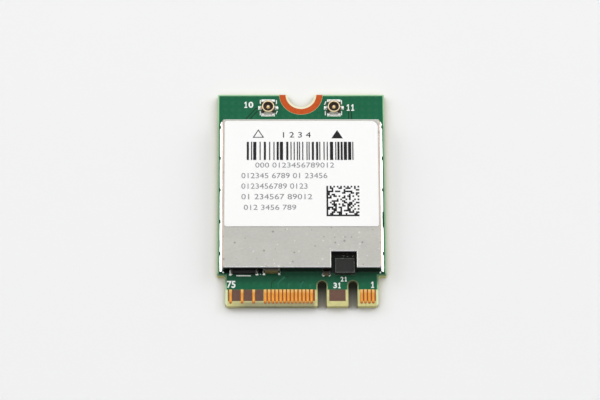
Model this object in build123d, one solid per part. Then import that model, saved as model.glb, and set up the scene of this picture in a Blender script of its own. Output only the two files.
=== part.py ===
from build123d import *
import os

os.makedirs("parts", exist_ok=True)

# Short plug-in radio card. Millimetres.
# The underside lies on z = 0, and x = y = 0 is the middle of the board's outline.
# +Y points to the half-moon screw notch, -Y to the plug-in tongue, +Z up from the parts' side.

# Contact row
pin_pitch = 0.5
pin_count = 75
finger_width = 0.35
finger_length = 1.97
finger_end_margin = 0.35
finger_tip_chamfer = 0.1
row_end_margin = 0.675
top_pins = [75, 69, 63] + list(range(57, 32, -2)) + [7, 5, 3, 1]
bottom_pins = list(range(74, 31, -2)) + [22, 20, 18, 16] + [6, 4, 2]

# Key notches, each named by the pin place at its middle
key_places = [27.5, 11.5]
key_width = 1.2
key_depth = 3.5
key_mask_margin = 0.16

# Board
board_length = 30.0
board_thickness = 0.8
board_corner_radius = 0.15
shoulder_width = 1.075
tongue_length = 4.2
tongue_root_radius = 0.4
tongue_tip_chamfer = 0.3
film_thickness = 0.05

# Half-moon screw notch with a copper ring on each face
notch_radius = 1.75
ring_inner_radius = 2.05
ring_outer_radius = 2.85

# Shield can, folded from one sheet
can_side_setback = 0.65
can_front_setback = 0.6
can_back_setback = 4.1
can_height = 1.4
can_sheet = 0.15
can_bend_radius = 0.2
can_corner_radius = 0.26
bay_center_x = 5.475
bay_width = 3.25
bay_depth = 2.25
window_end_x = -2.65
window_corner = 0.3
window_lip = 0.05
corner_relief_radius = 0.26
corner_relief_height = 0.6
corner_dot_radius = 0.11
foot_gap_count = 5
foot_gap_pitch = 4.5
foot_gap_first = 0.6
foot_gap_width = 0.45
foot_gap_height = 0.3
long_gap_length = 2.2
long_gap_center_y = -2.9

# Solder bead along the can's sides
bead_width = 0.35
bead_height = 0.3
bead_hollow = 0.4
bead_end_margin = 0.45
bite_depth = 0.2
land_under_wall = 0.3

# Label on the roof
label_thickness = 0.08
label_length = 15.0
label_side_margin = 0.28
label_back_margin = 0.34
label_small_radius = 0.3
label_large_radius = 0.9
ink_thickness = 0.015

# Antenna receptacles
antenna_center_x = 4.35
antenna_back_setback = 1.9
insulator_width = 1.76
insulator_length = 1.5
insulator_height = 0.3
shell_sheet = 0.08
shell_ring_radius = 0.8
shell_ring_wall = 0.13
shell_ring_height = 0.3
shell_ring_chamfer = 0.05
shell_strap_width = 1.1
shell_foot_length = 0.36
shell_tab_width = 0.4
pin_shaft_radius = 0.17
pin_base_radius = 0.26
pin_tip_radius = 0.13
pin_base_height = 0.05
pin_height = 0.2
tail_width = 0.28
tail_thickness = 0.1
tail_reach = 0.32
antenna_land_width = 1.75
antenna_land_overhang = 0.1
antenna_solder_thickness = 0.05
seat_clearance = 0.02
groove_margin = 0.1

# Power coil in the can's bay
coil_width = 2.6
coil_length = 2.1
coil_height = 0.8
coil_front_overhang = 0.5
coil_side_shift = 0.13
coil_chamfer = 0.08
coil_foot_width = 0.6
coil_foot_thickness = 0.06

# Parts at the front wall
filter_length = 3.5
filter_width = 1.5
filter_height = 0.5
filter_cap = 0.25
filter_center_x = -7.53
filter_front_overhang = 0.38
bulk_length = 2.15
bulk_width = 1.25
bulk_height = 1.05
bulk_cap = 0.22
bulk_center_x = -3.93
bulk_front_overhang = 0.3
front_capacitor_center_x = 3.2
front_capacitor_gap = 0.12

# Chips under the can
part_gap = 0.35
chip_wall_gap = 0.5
joint_height = 0.06
joint_width = 0.28
joint_length = 0.5
radio_size = 6.0
radio_height = 0.8
radio_joints = 7
radio_shift_x = 0.4
bluetooth_size = 4.0
bluetooth_height = 0.75
bluetooth_joints = 4
converter_size = 2.5
converter_height = 0.7
converter_joints = 3
converter_center_x = 1.3
amplifier_size = 2.5
amplifier_height = 0.7
amplifier_joints = 3
memory_size = 2.4
memory_height = 0.55
memory_joints = 2
crystal_width = 2.5
crystal_length = 2.0
crystal_height = 0.5
crystal_lid_thickness = 0.1
crystal_lid_margin = 0.15
diplexer_length = 1.6
diplexer_width = 0.8
diplexer_height = 0.6
diplexer_cap = 0.3

# Small two-ended parts
small_length = 1.0
small_width = 0.5
small_cap = 0.22
capacitor_height = 0.5
resistor_height = 0.35
tuning_coil_height = 0.45
small_pitch = 1.15
land_margin = 0.12

# Test pads on the underside
test_pad_radius = 0.45
test_pad_pitch = 2.5
test_pad_rows = 1
test_pad_columns = 2
test_pad_center_x = -5.0
test_pad_center_y = 2.0

# Print
dash_width = 0.14
dash_length = 0.55
frame_margin = 0.17
part_line_length = 1.85
part_line_width = 0.16

bar_module = 0.17
bar_code_left_margin = 2.9
bar_code_right_margin = 3.1
bar_code_height = 2.6
bar_code_back = 3.0
triangle_width = 1.5
triangle_height = 1.2
triangle_line = 0.09
triangle_spread = 5.2
triangle_shift = -0.47
triangle_gap = 0.6
block_code_size = 4.4
block_code_cells = 10
block_code_right = 2.45
block_code_lift = 1.4
word_row_lengths = [10.3, 11.2, 8.6, 9.2, 6.8]
word_row_margin = 2.2
word_row_pitch = 1.5
word_row_gap = 1.15
word_mark_pitch = 1.7
word_mark_width = 1.4
word_mark_height = 0.75

# Places worked out from the sizes above
board_top = board_thickness
board_front = -board_length / 2
board_back = board_length / 2
tongue_width = (pin_count - 1) * pin_pitch / 2 + 2 * row_end_margin
board_width = tongue_width + 2 * shoulder_width
shoulder_y = board_front + tongue_length
mask_front = board_front + finger_end_margin + finger_length
can_width = board_width - 2 * can_side_setback
can_front = shoulder_y + can_front_setback
can_back = board_back - can_back_setback
can_center_y = (can_front + can_back) / 2
can_top = board_top + can_height
bay_back = can_front + bay_depth
antenna_y = board_back - antenna_back_setback
label_back = can_back - label_back_margin
label_front = label_back - label_length
bar_code_left = -can_width / 2 + label_side_margin + bar_code_left_margin
bar_code_right = can_width / 2 - label_side_margin - bar_code_right_margin
bar_code_front = label_back - bar_code_back - bar_code_height
triangle_front = bar_code_front + bar_code_height + triangle_gap
triangle_left_x = triangle_shift - triangle_spread
triangle_right_x = triangle_shift + triangle_spread
block_code_left = can_width / 2 - label_side_margin - block_code_right - block_code_size
block_code_front = label_front + block_code_lift
word_row_left = -can_width / 2 + label_side_margin + word_row_margin
word_row_first = bar_code_front - word_row_gap


on_floor = (Align.CENTER, Align.CENTER, Align.MIN)


def sheet(plan, low, thickness):
    """Flat sheet of the given plan, with its lower face at the height low."""
    return Pos(0, 0, low) * extrude(plan, amount=thickness)


def rectangle_between(left, right, front, back):
    return Pos((left + right) / 2, (front + back) / 2) * Rectangle(right - left, back - front)


def standing_box(width, length, height):
    """Box that stands on z = 0 with its middle at x = y = 0."""
    return Box(width, length, height, align=on_floor)


def save(node, *shapes):
    solids = [solid for shape in shapes for solid in shape.solids()]
    whole = solids[0] if len(solids) == 1 else Compound(solids)
    export_step(whole, f"parts/{node}.step")


def pin_x(place):
    """Pins count from the right: odd ones on top, even ones half a pitch between them below."""
    return ((pin_count + 1) / 2 - place) * pin_pitch / 2


# Board, mask, fingers and rings

def key_slot(place, margin=0.0):
    """Key notch with a full round end, open at the tongue's tip."""
    radius = key_width / 2 + margin
    round_y = board_front + key_depth - key_width / 2
    slot = rectangle_between(-radius, radius, board_front - 1, round_y)
    return Pos(pin_x(place), 0) * (slot + Pos(0, round_y) * Circle(radius))


def board_plan():
    main = rectangle_between(-board_width / 2, board_width / 2, shoulder_y, board_back)
    tongue = rectangle_between(-tongue_width / 2, tongue_width / 2, board_front, shoulder_y)
    plan = main + tongue
    shoulders = [v for v in plan.vertices() if abs(v.Y - shoulder_y) < 0.01]
    roots = [v for v in shoulders if abs(abs(v.X) - tongue_width / 2) < 0.01]
    plan = fillet(roots, tongue_root_radius)
    tips = [v for v in plan.vertices() if abs(v.Y - board_front) < 0.01]
    plan = chamfer(tips, tongue_tip_chamfer)
    corners = [v for v in plan.vertices() if abs(abs(v.X) - board_width / 2) < 0.01]
    plan = fillet(corners, board_corner_radius)
    plan -= Pos(0, board_back) * Circle(notch_radius)
    for place in key_places:
        plan -= key_slot(place)
    return plan


def mask_plan():
    """Plan of the green mask: it keeps clear of the screw ring, the key notches and the contacts."""
    plan = board_plan() - Pos(0, board_back) * Circle(ring_outer_radius)
    for place in key_places:
        plan -= key_slot(place, key_mask_margin)
    return plan - rectangle_between(-board_width, board_width, board_front - 1, mask_front)


def finger_plan(pin):
    """Contact finger with its tip's corners cut, from the mask's edge towards the tongue's tip."""
    tip_y = board_front + finger_end_margin
    bar = rectangle_between(-finger_width / 2, finger_width / 2, tip_y, mask_front)
    tips = [v for v in bar.vertices() if abs(v.Y - tip_y) < 0.01]
    return Pos(pin_x(pin), 0) * chamfer(tips, finger_tip_chamfer)


def ring_plan():
    ring = Circle(ring_outer_radius) - Circle(ring_inner_radius)
    below = rectangle_between(-ring_outer_radius, ring_outer_radius, -ring_outer_radius, 0)
    return Pos(0, board_back) * (ring & below)


def test_pad_places():
    center = Pos(test_pad_center_x, test_pad_center_y)
    grid = GridLocations(test_pad_pitch, test_pad_pitch, test_pad_columns, test_pad_rows)
    return [center * place for place in grid]


# Two-ended parts and chips, each made at the origin standing on z = 0

def two_ended_body(length, width, height, cap):
    return standing_box(length - 2 * cap, width, height)


def two_ended_caps(length, width, height, cap):
    reach = (length - cap) / 2
    return [Pos(side * reach, 0) * standing_box(cap, width, height) for side in (-1, 1)]


def two_ended_lands(length, width, cap):
    reach = (length - cap) / 2 + land_margin / 2
    return [Pos(side * reach, 0) * Rectangle(cap + land_margin, width + land_margin) for side in (-1, 1)]


def two_ended_window(length, width):
    """Opening in the mask round both lands of a two-ended part."""
    return Rectangle(length + 2 * land_margin, width + land_margin)


def chip_body(size, height):
    body = Pos(0, 0, joint_height) * standing_box(size, size, height)
    return chamfer(body.faces().sort_by(Axis.Z)[-1].edges(), 0.05 * height)


def chip_joint_places(size, count):
    """Places of the joints along the four sides of a square chip."""
    reach = (size - joint_length) / 2
    pitch = (size - 2 * joint_length) / count
    row = [Pos((number - (count - 1) / 2) * pitch, reach) for number in range(count)]
    return [Rot(0, 0, 90 * side) * place for side in range(4) for place in row]


def chip_joints(size, count):
    pad_size = size - 2 * joint_length - 2 * part_gap
    joint = standing_box(joint_width, joint_length, joint_height)
    joints = [place * joint for place in chip_joint_places(size, count)]
    return joints + [standing_box(pad_size, pad_size, joint_height)]


def chip_lands(size, count):
    pad_size = size - 2 * joint_length - 2 * part_gap
    lands = [place * Rectangle(joint_width, joint_length) for place in chip_joint_places(size, count)]
    return lands + [Rectangle(pad_size, pad_size)]


def chip_window(size):
    """Opening in the mask round all the lands of a chip."""
    return Rectangle(size + 2 * land_margin, size + 2 * land_margin)


def on_board(x, y, turn=0):
    return Pos(x, y, board_top) * Rot(0, 0, turn)


def row_places(x, y, count, along_x, turn):
    """Places of a straight row of small parts, counted from its first place."""
    step_x = small_pitch if along_x else 0
    step_y = 0 if along_x else small_pitch
    return [on_board(x + number * step_x, y + number * step_y, turn) for number in range(count)]


# Places of the chips: each keeps the part gap to the one beside it
radio_x = radio_shift_x
radio_y = can_center_y
radio_half = radio_size / 2
side_row_x = radio_x + radio_half + part_gap + small_length / 2
crystal_x = side_row_x + small_length / 2 + part_gap + crystal_width / 2
bluetooth_x = radio_x - radio_half - 2 * part_gap - bluetooth_size / 2
bluetooth_y = radio_y - radio_half + bluetooth_size / 2
memory_y = bluetooth_y + bluetooth_size / 2 + 2 * part_gap + memory_size / 2
front_row_y = radio_y - radio_half - part_gap - small_length / 2
back_row_y = radio_y + radio_half + part_gap + small_length / 2
converter_y = can_front + can_sheet + chip_wall_gap + converter_size / 2
converter_row_x = converter_center_x - converter_size / 2 - part_gap - small_length / 2
amplifier_y = can_back - can_sheet - chip_wall_gap - amplifier_size / 2
diplexer_x = antenna_center_x + amplifier_size / 2 + part_gap + diplexer_length / 2
bluetooth_row_y = bluetooth_y - bluetooth_size / 2 - part_gap - small_length / 2
crystal_row_y = radio_y - crystal_length / 2 - part_gap - small_length / 2

radio_place = on_board(radio_x, radio_y)
bluetooth_place = on_board(bluetooth_x, bluetooth_y)
memory_place = on_board(bluetooth_x, memory_y)
converter_place = on_board(converter_center_x, converter_y)
amplifier_places = [on_board(side * antenna_center_x, amplifier_y) for side in (-1, 1)]
crystal_place = on_board(crystal_x, radio_y)
diplexer_places = [on_board(side * diplexer_x, amplifier_y, 90) for side in (-1, 1)]

capacitor_places = (
    row_places(side_row_x, radio_y - 1.5 * small_pitch, 4, False, 0)
    + row_places(radio_x - 1.5 * small_pitch, front_row_y, 4, True, 90)
    + row_places(converter_row_x, converter_y - small_pitch / 2, 2, False, 0)
)
resistor_places = (
    row_places(bluetooth_x - small_pitch, bluetooth_row_y, 3, True, 90)
    + row_places(crystal_x - small_pitch / 2, crystal_row_y, 2, True, 90)
)
tuning_coil_places = (
    row_places(radio_x - 1.5 * small_pitch, back_row_y, 4, True, 90)
    + row_places(0, amplifier_y - small_pitch / 2, 2, False, 0)
)

coil_x = bay_center_x + coil_side_shift
coil_y = can_front - coil_front_overhang + coil_length / 2
coil_place = on_board(coil_x, coil_y)
filter_place = on_board(filter_center_x, can_front - filter_front_overhang + filter_width / 2)
bulk_place = on_board(bulk_center_x, can_front - bulk_front_overhang + bulk_width / 2)
front_capacitor_place = on_board(front_capacitor_center_x, can_front - front_capacitor_gap - small_width / 2)


# Shield can

def can_plan(inset):
    """The can's plan moved inwards by inset, with the bay for the coil cut out of its front."""
    front = can_front + inset
    back = can_back - inset
    half = can_width / 2 - inset
    bay_end = bay_back + inset
    plan = rectangle_between(-half, half, front, back)
    bay_half = bay_width / 2 + inset
    plan -= rectangle_between(bay_center_x - bay_half, bay_center_x + bay_half, front - 1, bay_end)
    corners = [v for v in plan.vertices() if abs(abs(v.X) - half) < 0.01]
    return fillet(corners, can_corner_radius - inset)


def can_block():
    """Solid block of the can's outside, with a rounded bend round its roof."""
    block = sheet(can_plan(0), board_top, can_height)
    return fillet(block.faces().sort_by(Axis.Z)[-1].edges(), can_bend_radius)


def foot_gap_places():
    """Heights along Y of the solder gaps in the can's side walls."""
    return [can_back - foot_gap_first - number * foot_gap_pitch for number in range(foot_gap_count)]


def shield_can():
    can = can_block() - sheet(can_plan(can_sheet), board_top, can_height - can_sheet)
    window_start = -can_width / 2 + window_corner
    window_top = can_top - can_bend_radius - window_lip
    window = rectangle_between(window_start, window_end_x, can_front - 1, can_front + can_sheet)
    can -= sheet(window, board_top, window_top - board_top)
    for y in foot_gap_places():
        gap = Pos(0, y) * Rectangle(can_width + 1, foot_gap_width)
        can -= sheet(gap, board_top, foot_gap_height)
    long_gap = Pos(can_width / 2, long_gap_center_y) * Rectangle(4 * can_sheet, long_gap_length)
    can -= sheet(long_gap, board_top, foot_gap_height)
    for side in (-1, 1):
        center = Pos(side * (can_width / 2 - can_sheet), can_front + can_sheet)
        can -= sheet(center * Circle(corner_relief_radius), board_top, corner_relief_height)
    return can


def wall_lands():
    """Copper strips under the can's side and back walls, and under the front wall beside the window."""
    inner = can_width / 2 - can_sheet - land_under_wall
    outer = can_width / 2 + bead_width
    low = can_front + bead_end_margin
    high = can_back - bead_end_margin
    right = rectangle_between(inner, outer, low, high)
    back = rectangle_between(-inner + part_gap, inner - part_gap, can_back - can_sheet - land_under_wall,
                             can_back + bead_width / 2)
    front_band = (can_front, can_front + can_sheet + land_under_wall / 2)
    bay_left = bay_center_x - bay_width / 2
    bay_right = bay_center_x + bay_width / 2
    middle = rectangle_between(window_end_x + part_gap, bay_left - part_gap, *front_band)
    side = rectangle_between(bay_right + part_gap, inner - part_gap, *front_band)
    return [right, mirror(right, about=Plane.YZ), back, middle, side]


def side_bead(length):
    """Solder bead along Y with a hollow slope, against a wall at x = 0."""
    hollow = (bead_hollow * bead_width, bead_hollow * bead_height)
    section = make_face(Polyline((0, 0), (bead_width, 0), hollow, (0, bead_height), close=True))
    return extrude(Plane.XZ * section, amount=length / 2, both=True)


def shield_solder():
    length = can_back - can_front - 2 * bead_end_margin
    bead = Pos(can_width / 2, can_center_y, board_top) * side_bead(length)
    edge = can_width / 2 + bead_width
    bite = standing_box(2 * bite_depth, foot_gap_width, bead_height)
    for y in foot_gap_places():
        bead -= Pos(edge, y, board_top) * bite
    left = mirror(bead, about=Plane.YZ)
    long_bite = standing_box(2 * bite_depth, long_gap_length, bead_height)
    bead -= Pos(edge, long_gap_center_y, board_top) * long_bite
    back_length = can_width - 2 * (can_sheet + land_under_wall + part_gap)
    back = Pos(0, can_back, board_top) * Rot(0, 0, 90) * scale(side_bead(back_length), by=(0.5, 1, 0.5))
    dots = []
    for side in (-1, 1):
        center = Pos(side * (can_width / 2 - can_sheet), can_front + can_sheet)
        dots.append(sheet(center * Circle(corner_dot_radius), board_top, corner_relief_height / 3))
    return [bead, left, back] + dots


# Antenna receptacle at the origin, standing on z = 0, with its signal tail towards +X

# Each arm of the ground contact: turn, distance of the insulator's side, width and reach of its foot
shell_arms = [
    (90, insulator_length / 2, shell_strap_width, shell_foot_length),
    (-90, insulator_length / 2, shell_strap_width, shell_foot_length),
    (180, insulator_width / 2, shell_tab_width, tail_reach),
]
shell_bore = shell_ring_radius - shell_ring_wall
strap_low = insulator_height - shell_sheet
groove_start = pin_base_radius + groove_margin


def antenna_insulator():
    """Moulded block with a hole for the pin, and grooves for its tail and for the ground contact's arms."""
    block = standing_box(insulator_width, insulator_length, insulator_height)
    block -= Cylinder(pin_shaft_radius + seat_clearance, 3 * insulator_height)
    groove_half = tail_width / 2 + seat_clearance
    groove = rectangle_between(-pin_base_radius, insulator_width, -groove_half, groove_half)
    block -= sheet(groove, 0, tail_thickness)
    for turn, edge, width, reach in shell_arms:
        half = width / 2 + seat_clearance
        groove = rectangle_between(groove_start, edge + reach, -half, half)
        block -= Rot(0, 0, turn) * sheet(groove, strap_low, shell_sheet)
    return block


def shell_arm(edge, width, reach):
    """Strap towards +X, let into the insulator's top, then down its side and out along the land."""
    half = width / 2
    strap = sheet(rectangle_between(groove_start, edge + shell_sheet, -half, half), strap_low, shell_sheet)
    leg = sheet(rectangle_between(edge, edge + shell_sheet, -half, half), 0, insulator_height)
    foot = sheet(rectangle_between(edge, edge + reach, -half, half), 0, shell_sheet)
    return strap + leg + foot


def antenna_shell():
    """Ground contact: the round collar, a foot at each end and a narrow tab opposite the signal tail."""
    collar = Cylinder(shell_ring_radius, shell_ring_height, align=on_floor)
    collar = chamfer(collar.faces().sort_by(Axis.Z)[-1].edges(), shell_ring_chamfer)
    shell = Pos(0, 0, insulator_height) * collar
    for turn, edge, width, reach in shell_arms:
        shell += Rot(0, 0, turn) * shell_arm(edge, width, reach)
    return shell - Cylinder(shell_bore, 3 * (insulator_height + shell_ring_height))


def antenna_pin():
    """Centre contact: a pointed pin on a small base, its shaft and the tail under the insulator."""
    tail_end = insulator_width / 2 + tail_reach
    tail = rectangle_between(-pin_shaft_radius, tail_end, -tail_width / 2, tail_width / 2)
    shaft = Cylinder(pin_shaft_radius, insulator_height, align=on_floor)
    base = Cylinder(pin_base_radius, pin_base_height, align=on_floor)
    point = Pos(0, 0, pin_base_height) * Cone(pin_base_radius, pin_tip_radius, pin_height, align=on_floor)
    return sheet(tail, 0, tail_thickness) + shaft + Pos(0, 0, insulator_height) * (base + point)


def antenna_lands():
    """Lands of the two feet, the signal tail and the tab."""
    end_y = insulator_length / 2
    foot_length = shell_foot_length + antenna_land_overhang
    lands = []
    for side in (-1, 1):
        lands.append(Pos(0, side * (end_y + foot_length / 2)) * Rectangle(antenna_land_width, foot_length))
    end_x = insulator_width / 2
    tail_length = tail_reach + antenna_land_overhang
    tail_land = Rectangle(tail_length, shell_tab_width + antenna_land_overhang)
    for side in (-1, 1):
        lands.append(Pos(side * (end_x + tail_length / 2), 0) * tail_land)
    return lands


def antenna_solder():
    """Solder spread over each land round the foot that stands in it."""
    solder = [sheet(land, 0, antenna_solder_thickness) for land in antenna_lands()]
    return [layer - antenna_shell() - antenna_pin() for layer in solder]


antenna_places = {
    "left_antenna": Pos(-antenna_center_x, antenna_y, board_top) * Rot(0, 0, 180),
    "right_antenna": Pos(antenna_center_x, antenna_y, board_top),
}


# Lands on the top face, one list for all that is soldered there

def moved(shapes, place):
    return [place * shape for shape in shapes]


def flat(place):
    """The same place, on the plane of the drawing."""
    return Pos(0, 0, -board_top) * place


coil_land = Rectangle(coil_foot_width, coil_length)
coil_lands = [Pos(side * (coil_width - coil_foot_width) / 2, 0) * coil_land for side in (-1, 1)]

part_lands = moved(coil_lands, flat(coil_place))
part_windows = [flat(coil_place) * Rectangle(coil_width, coil_length)]


def land_two_ended(length, width, cap, places):
    for place in places:
        part_lands.extend(moved(two_ended_lands(length, width, cap), flat(place)))
        part_windows.append(flat(place) * two_ended_window(length, width))


def land_chip(size, count, places):
    for place in places:
        part_lands.extend(moved(chip_lands(size, count), flat(place)))
        part_windows.append(flat(place) * chip_window(size))


land_two_ended(filter_length, filter_width, filter_cap, [filter_place])
land_two_ended(bulk_length, bulk_width, bulk_cap, [bulk_place])
land_two_ended(crystal_width, crystal_length, joint_length, [crystal_place])
land_two_ended(diplexer_length, diplexer_width, diplexer_cap, diplexer_places)
small_places = capacitor_places + [front_capacitor_place] + resistor_places + tuning_coil_places
land_two_ended(small_length, small_width, small_cap, small_places)
land_chip(radio_size, radio_joints, [radio_place])
land_chip(bluetooth_size, bluetooth_joints, [bluetooth_place])
land_chip(converter_size, converter_joints, [converter_place])
land_chip(memory_size, memory_joints, [memory_place])
land_chip(amplifier_size, amplifier_joints, amplifier_places)

receptacle_lands = []
for place in antenna_places.values():
    receptacle_lands += moved(antenna_lands(), flat(place))

ground_lands = wall_lands()


# Board nodes

laminate = sheet(board_plan(), film_thickness, board_thickness - 2 * film_thickness)
save("laminate_board", laminate)

top_film = board_top - film_thickness
mask_openings = part_windows + receptacle_lands + ground_lands
save("solder_mask_top", sheet(mask_plan() - mask_openings, top_film, film_thickness))
test_pads = [place * Circle(test_pad_radius) for place in test_pad_places()]
save("solder_mask_bottom", sheet(mask_plan() - test_pads, 0, film_thickness))
save("contact_fingers_top", *[sheet(finger_plan(pin), top_film, film_thickness) for pin in top_pins])
save("contact_fingers_bottom", *[sheet(finger_plan(pin), 0, film_thickness) for pin in bottom_pins])
save("mounting_ring_top", sheet(ring_plan(), top_film, film_thickness))
save("mounting_ring_bottom", sheet(ring_plan(), 0, film_thickness))
save("part_lands", *[sheet(land, top_film, film_thickness) for land in part_lands])
save("receptacle_lands", *[sheet(land, top_film, film_thickness) for land in receptacle_lands])
save("shield_ground_lands", *[sheet(land, top_film, film_thickness) for land in ground_lands])
save("test_pads", *[sheet(pad, 0, film_thickness) for pad in test_pads])


# Shield can, its solder and the label

save("shield_can", shield_can())
save("shield_solder", *shield_solder())


def label_plan():
    """Label with one large corner at the back right."""
    half = can_width / 2 - label_side_margin
    plan = rectangle_between(-half, half, label_front, label_back)
    small = [v for v in plan.vertices() if v.X < 0 or abs(v.Y - label_front) < 0.01]
    plan = fillet(small, label_small_radius)
    large = [v for v in plan.vertices() if abs(v.X - half) < 0.01 and abs(v.Y - label_back) < 0.01]
    return fillet(large, label_large_radius)


save("label", sheet(label_plan(), can_top, label_thickness))


# Print on the label: plain bars and blocks in place of words and codes

def bar_code():
    """Upright bars whose widths and gaps follow a simple rule."""
    bars = []
    left = bar_code_left
    number = 0
    back = bar_code_front + bar_code_height
    while left < bar_code_right:
        right = min(left + bar_module * (1 + (number * number) % 3), bar_code_right)
        bars.append(rectangle_between(left, right, bar_code_front, back))
        left = right + bar_module * (1 + (2 * number * number + number) % 4)
        number += 1
    return bars


def block_code():
    """Square code field: a solid L at the left and front, and loose blocks inside by a simple rule."""
    cell = block_code_size / block_code_cells
    left = rectangle_between(0, cell, 0, block_code_size)
    front = rectangle_between(cell, block_code_size, 0, cell)
    blocks = [left, front]
    for row in range(2, block_code_cells):
        for column in range(2, block_code_cells):
            if (row * row + 2 * column + row * column) % 5 < 2:
                middle = Pos((column + 0.5) * cell, (row + 0.5) * cell)
                blocks.append(middle * Rectangle(0.9 * cell, 0.9 * cell))
    return moved(blocks, Pos(block_code_left, block_code_front))


def triangle(center_x, filled):
    half = triangle_width / 2
    whole = make_face(Polyline((-half, 0), (half, 0), (0, triangle_height), close=True))
    if not filled:
        whole -= offset(whole, -triangle_line)
    return Pos(center_x, triangle_front) * whole


def word_rows():
    """Rows of plain strokes where the small print is, one stroke for each mark."""
    strokes = []
    for number, length in enumerate(word_row_lengths):
        front = word_row_first - number * word_row_pitch
        count = int(length / word_mark_pitch)
        for mark in range(count):
            if (mark + number) % 5 == 4:
                continue
            left = word_row_left + mark * word_mark_pitch
            strokes.append(rectangle_between(left, left + word_mark_width, front, front + word_mark_height))
    return strokes


label_ink = bar_code() + block_code() + word_rows()
label_ink += [triangle(triangle_left_x, False), triangle(triangle_right_x, True)]
save("label_print", *[sheet(mark, can_top + label_thickness, ink_thickness) for mark in label_ink])


# Legend print on the mask: broken frames round the receptacles and a line at the filter

def receptacle_frame():
    reach_x = insulator_width / 2 + frame_margin
    reach_y = insulator_length / 2 + 0.5 * dash_length
    dashes = []
    for side_x in (-1, 1):
        for side_y in (-1, 1):
            dashes.append(Pos(side_x * reach_x, side_y * reach_y) * Rectangle(dash_width, dash_length))
    return dashes


legend = [Pos(filter_center_x, can_front - filter_front_overhang - 2 * part_line_width)
          * Rectangle(part_line_length, part_line_width)]
for place in antenna_places.values():
    legend += moved(receptacle_frame(), flat(place))
save("legend_print", *[sheet(mark, board_top, ink_thickness) for mark in legend])


# Antenna receptacles

for side_name, place in antenna_places.items():
    save(f"{side_name}_insulator", place * antenna_insulator())
    save(f"{side_name}_shell", place * antenna_shell())
    save(f"{side_name}_pin", place * antenna_pin())
receptacle_solder = []
for place in antenna_places.values():
    receptacle_solder += moved(antenna_solder(), place)
save("receptacle_solder", *receptacle_solder)


# Power coil and the parts at the front wall

coil_block = standing_box(coil_width, coil_length, coil_height - coil_foot_thickness)
coil_block = Pos(0, 0, coil_foot_thickness) * coil_block
coil_block = chamfer(coil_block.faces().sort_by(Axis.Z)[-1].edges(), coil_chamfer)
coil_feet = [sheet(foot, 0, coil_foot_thickness) for foot in coil_lands]
save("power_coil", coil_place * coil_block)
save("power_coil_feet", *moved(coil_feet, coil_place))

filter_sizes = (filter_length, filter_width, filter_height, filter_cap)
save("filter_body", filter_place * two_ended_body(*filter_sizes))
save("filter_caps", *moved(two_ended_caps(*filter_sizes), filter_place))

bulk_sizes = (bulk_length, bulk_width, bulk_height, bulk_cap)
save("bulk_capacitor_body", bulk_place * two_ended_body(*bulk_sizes))
save("bulk_capacitor_caps", *moved(two_ended_caps(*bulk_sizes), bulk_place))


# Chips under the can

def save_chip(name, size, height, count, places):
    bodies = [place * chip_body(size, height) for place in places]
    joints = [joint for place in places for joint in moved(chip_joints(size, count), place)]
    save(name, *bodies)
    save(f"{name}_joints", *joints)


save_chip("radio_chip", radio_size, radio_height, radio_joints, [radio_place])
save_chip("bluetooth_chip", bluetooth_size, bluetooth_height, bluetooth_joints, [bluetooth_place])
save_chip("power_converter", converter_size, converter_height, converter_joints, [converter_place])
save_chip("antenna_amplifiers", amplifier_size, amplifier_height, amplifier_joints, amplifier_places)
save_chip("memory_chip", memory_size, memory_height, memory_joints, [memory_place])


# Clock crystal: a ceramic tray on two end joints, closed by a metal lid

crystal_tray = Pos(0, 0, joint_height) * standing_box(crystal_width, crystal_length, crystal_height)
lid_width = crystal_width - 2 * crystal_lid_margin
lid_length = crystal_length - 2 * crystal_lid_margin
crystal_lid = standing_box(lid_width, lid_length, crystal_lid_thickness)
crystal_lid = Pos(0, 0, joint_height + crystal_height) * crystal_lid
crystal_ends = two_ended_caps(crystal_width, crystal_length, joint_height, joint_length)
save("crystal_tray", crystal_place * crystal_tray)
save("crystal_lid", crystal_place * crystal_lid)
save("crystal_joints", *moved(crystal_ends, crystal_place))


# Small two-ended parts

def save_two_ended(name, length, width, height, cap, places):
    bodies = [place * two_ended_body(length, width, height, cap) for place in places]
    ends = [end for place in places for end in moved(two_ended_caps(length, width, height, cap), place)]
    save(f"{name}_bodies", *bodies)
    save(f"{name}_caps", *ends)


def save_small(name, height, places):
    save_two_ended(name, small_length, small_width, height, small_cap, places)


save_small("capacitor", capacitor_height, capacitor_places)
save_small("front_capacitor", capacitor_height, [front_capacitor_place])
save_small("resistor", resistor_height, resistor_places)
save_small("tuning_coil", tuning_coil_height, tuning_coil_places)
save_two_ended("diplexer", diplexer_length, diplexer_width, diplexer_height, diplexer_cap, diplexer_places)
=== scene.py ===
import bpy
import bmesh
import math
from mathutils import Matrix, Vector


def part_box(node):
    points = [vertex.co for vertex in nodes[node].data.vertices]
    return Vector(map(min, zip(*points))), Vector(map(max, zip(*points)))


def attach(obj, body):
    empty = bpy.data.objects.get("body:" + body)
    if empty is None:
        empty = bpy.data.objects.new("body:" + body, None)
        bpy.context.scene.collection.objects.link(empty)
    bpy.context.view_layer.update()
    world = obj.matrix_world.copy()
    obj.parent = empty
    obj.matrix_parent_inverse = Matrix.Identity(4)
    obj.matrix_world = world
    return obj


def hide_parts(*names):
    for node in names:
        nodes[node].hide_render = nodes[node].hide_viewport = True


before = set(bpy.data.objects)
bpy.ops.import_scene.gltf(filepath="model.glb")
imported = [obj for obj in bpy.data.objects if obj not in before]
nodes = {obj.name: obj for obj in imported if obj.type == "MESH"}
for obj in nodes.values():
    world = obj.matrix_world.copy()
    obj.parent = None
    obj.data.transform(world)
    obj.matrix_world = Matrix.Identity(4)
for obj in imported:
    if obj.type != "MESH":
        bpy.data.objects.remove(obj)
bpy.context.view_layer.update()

mm = 0.001
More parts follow.
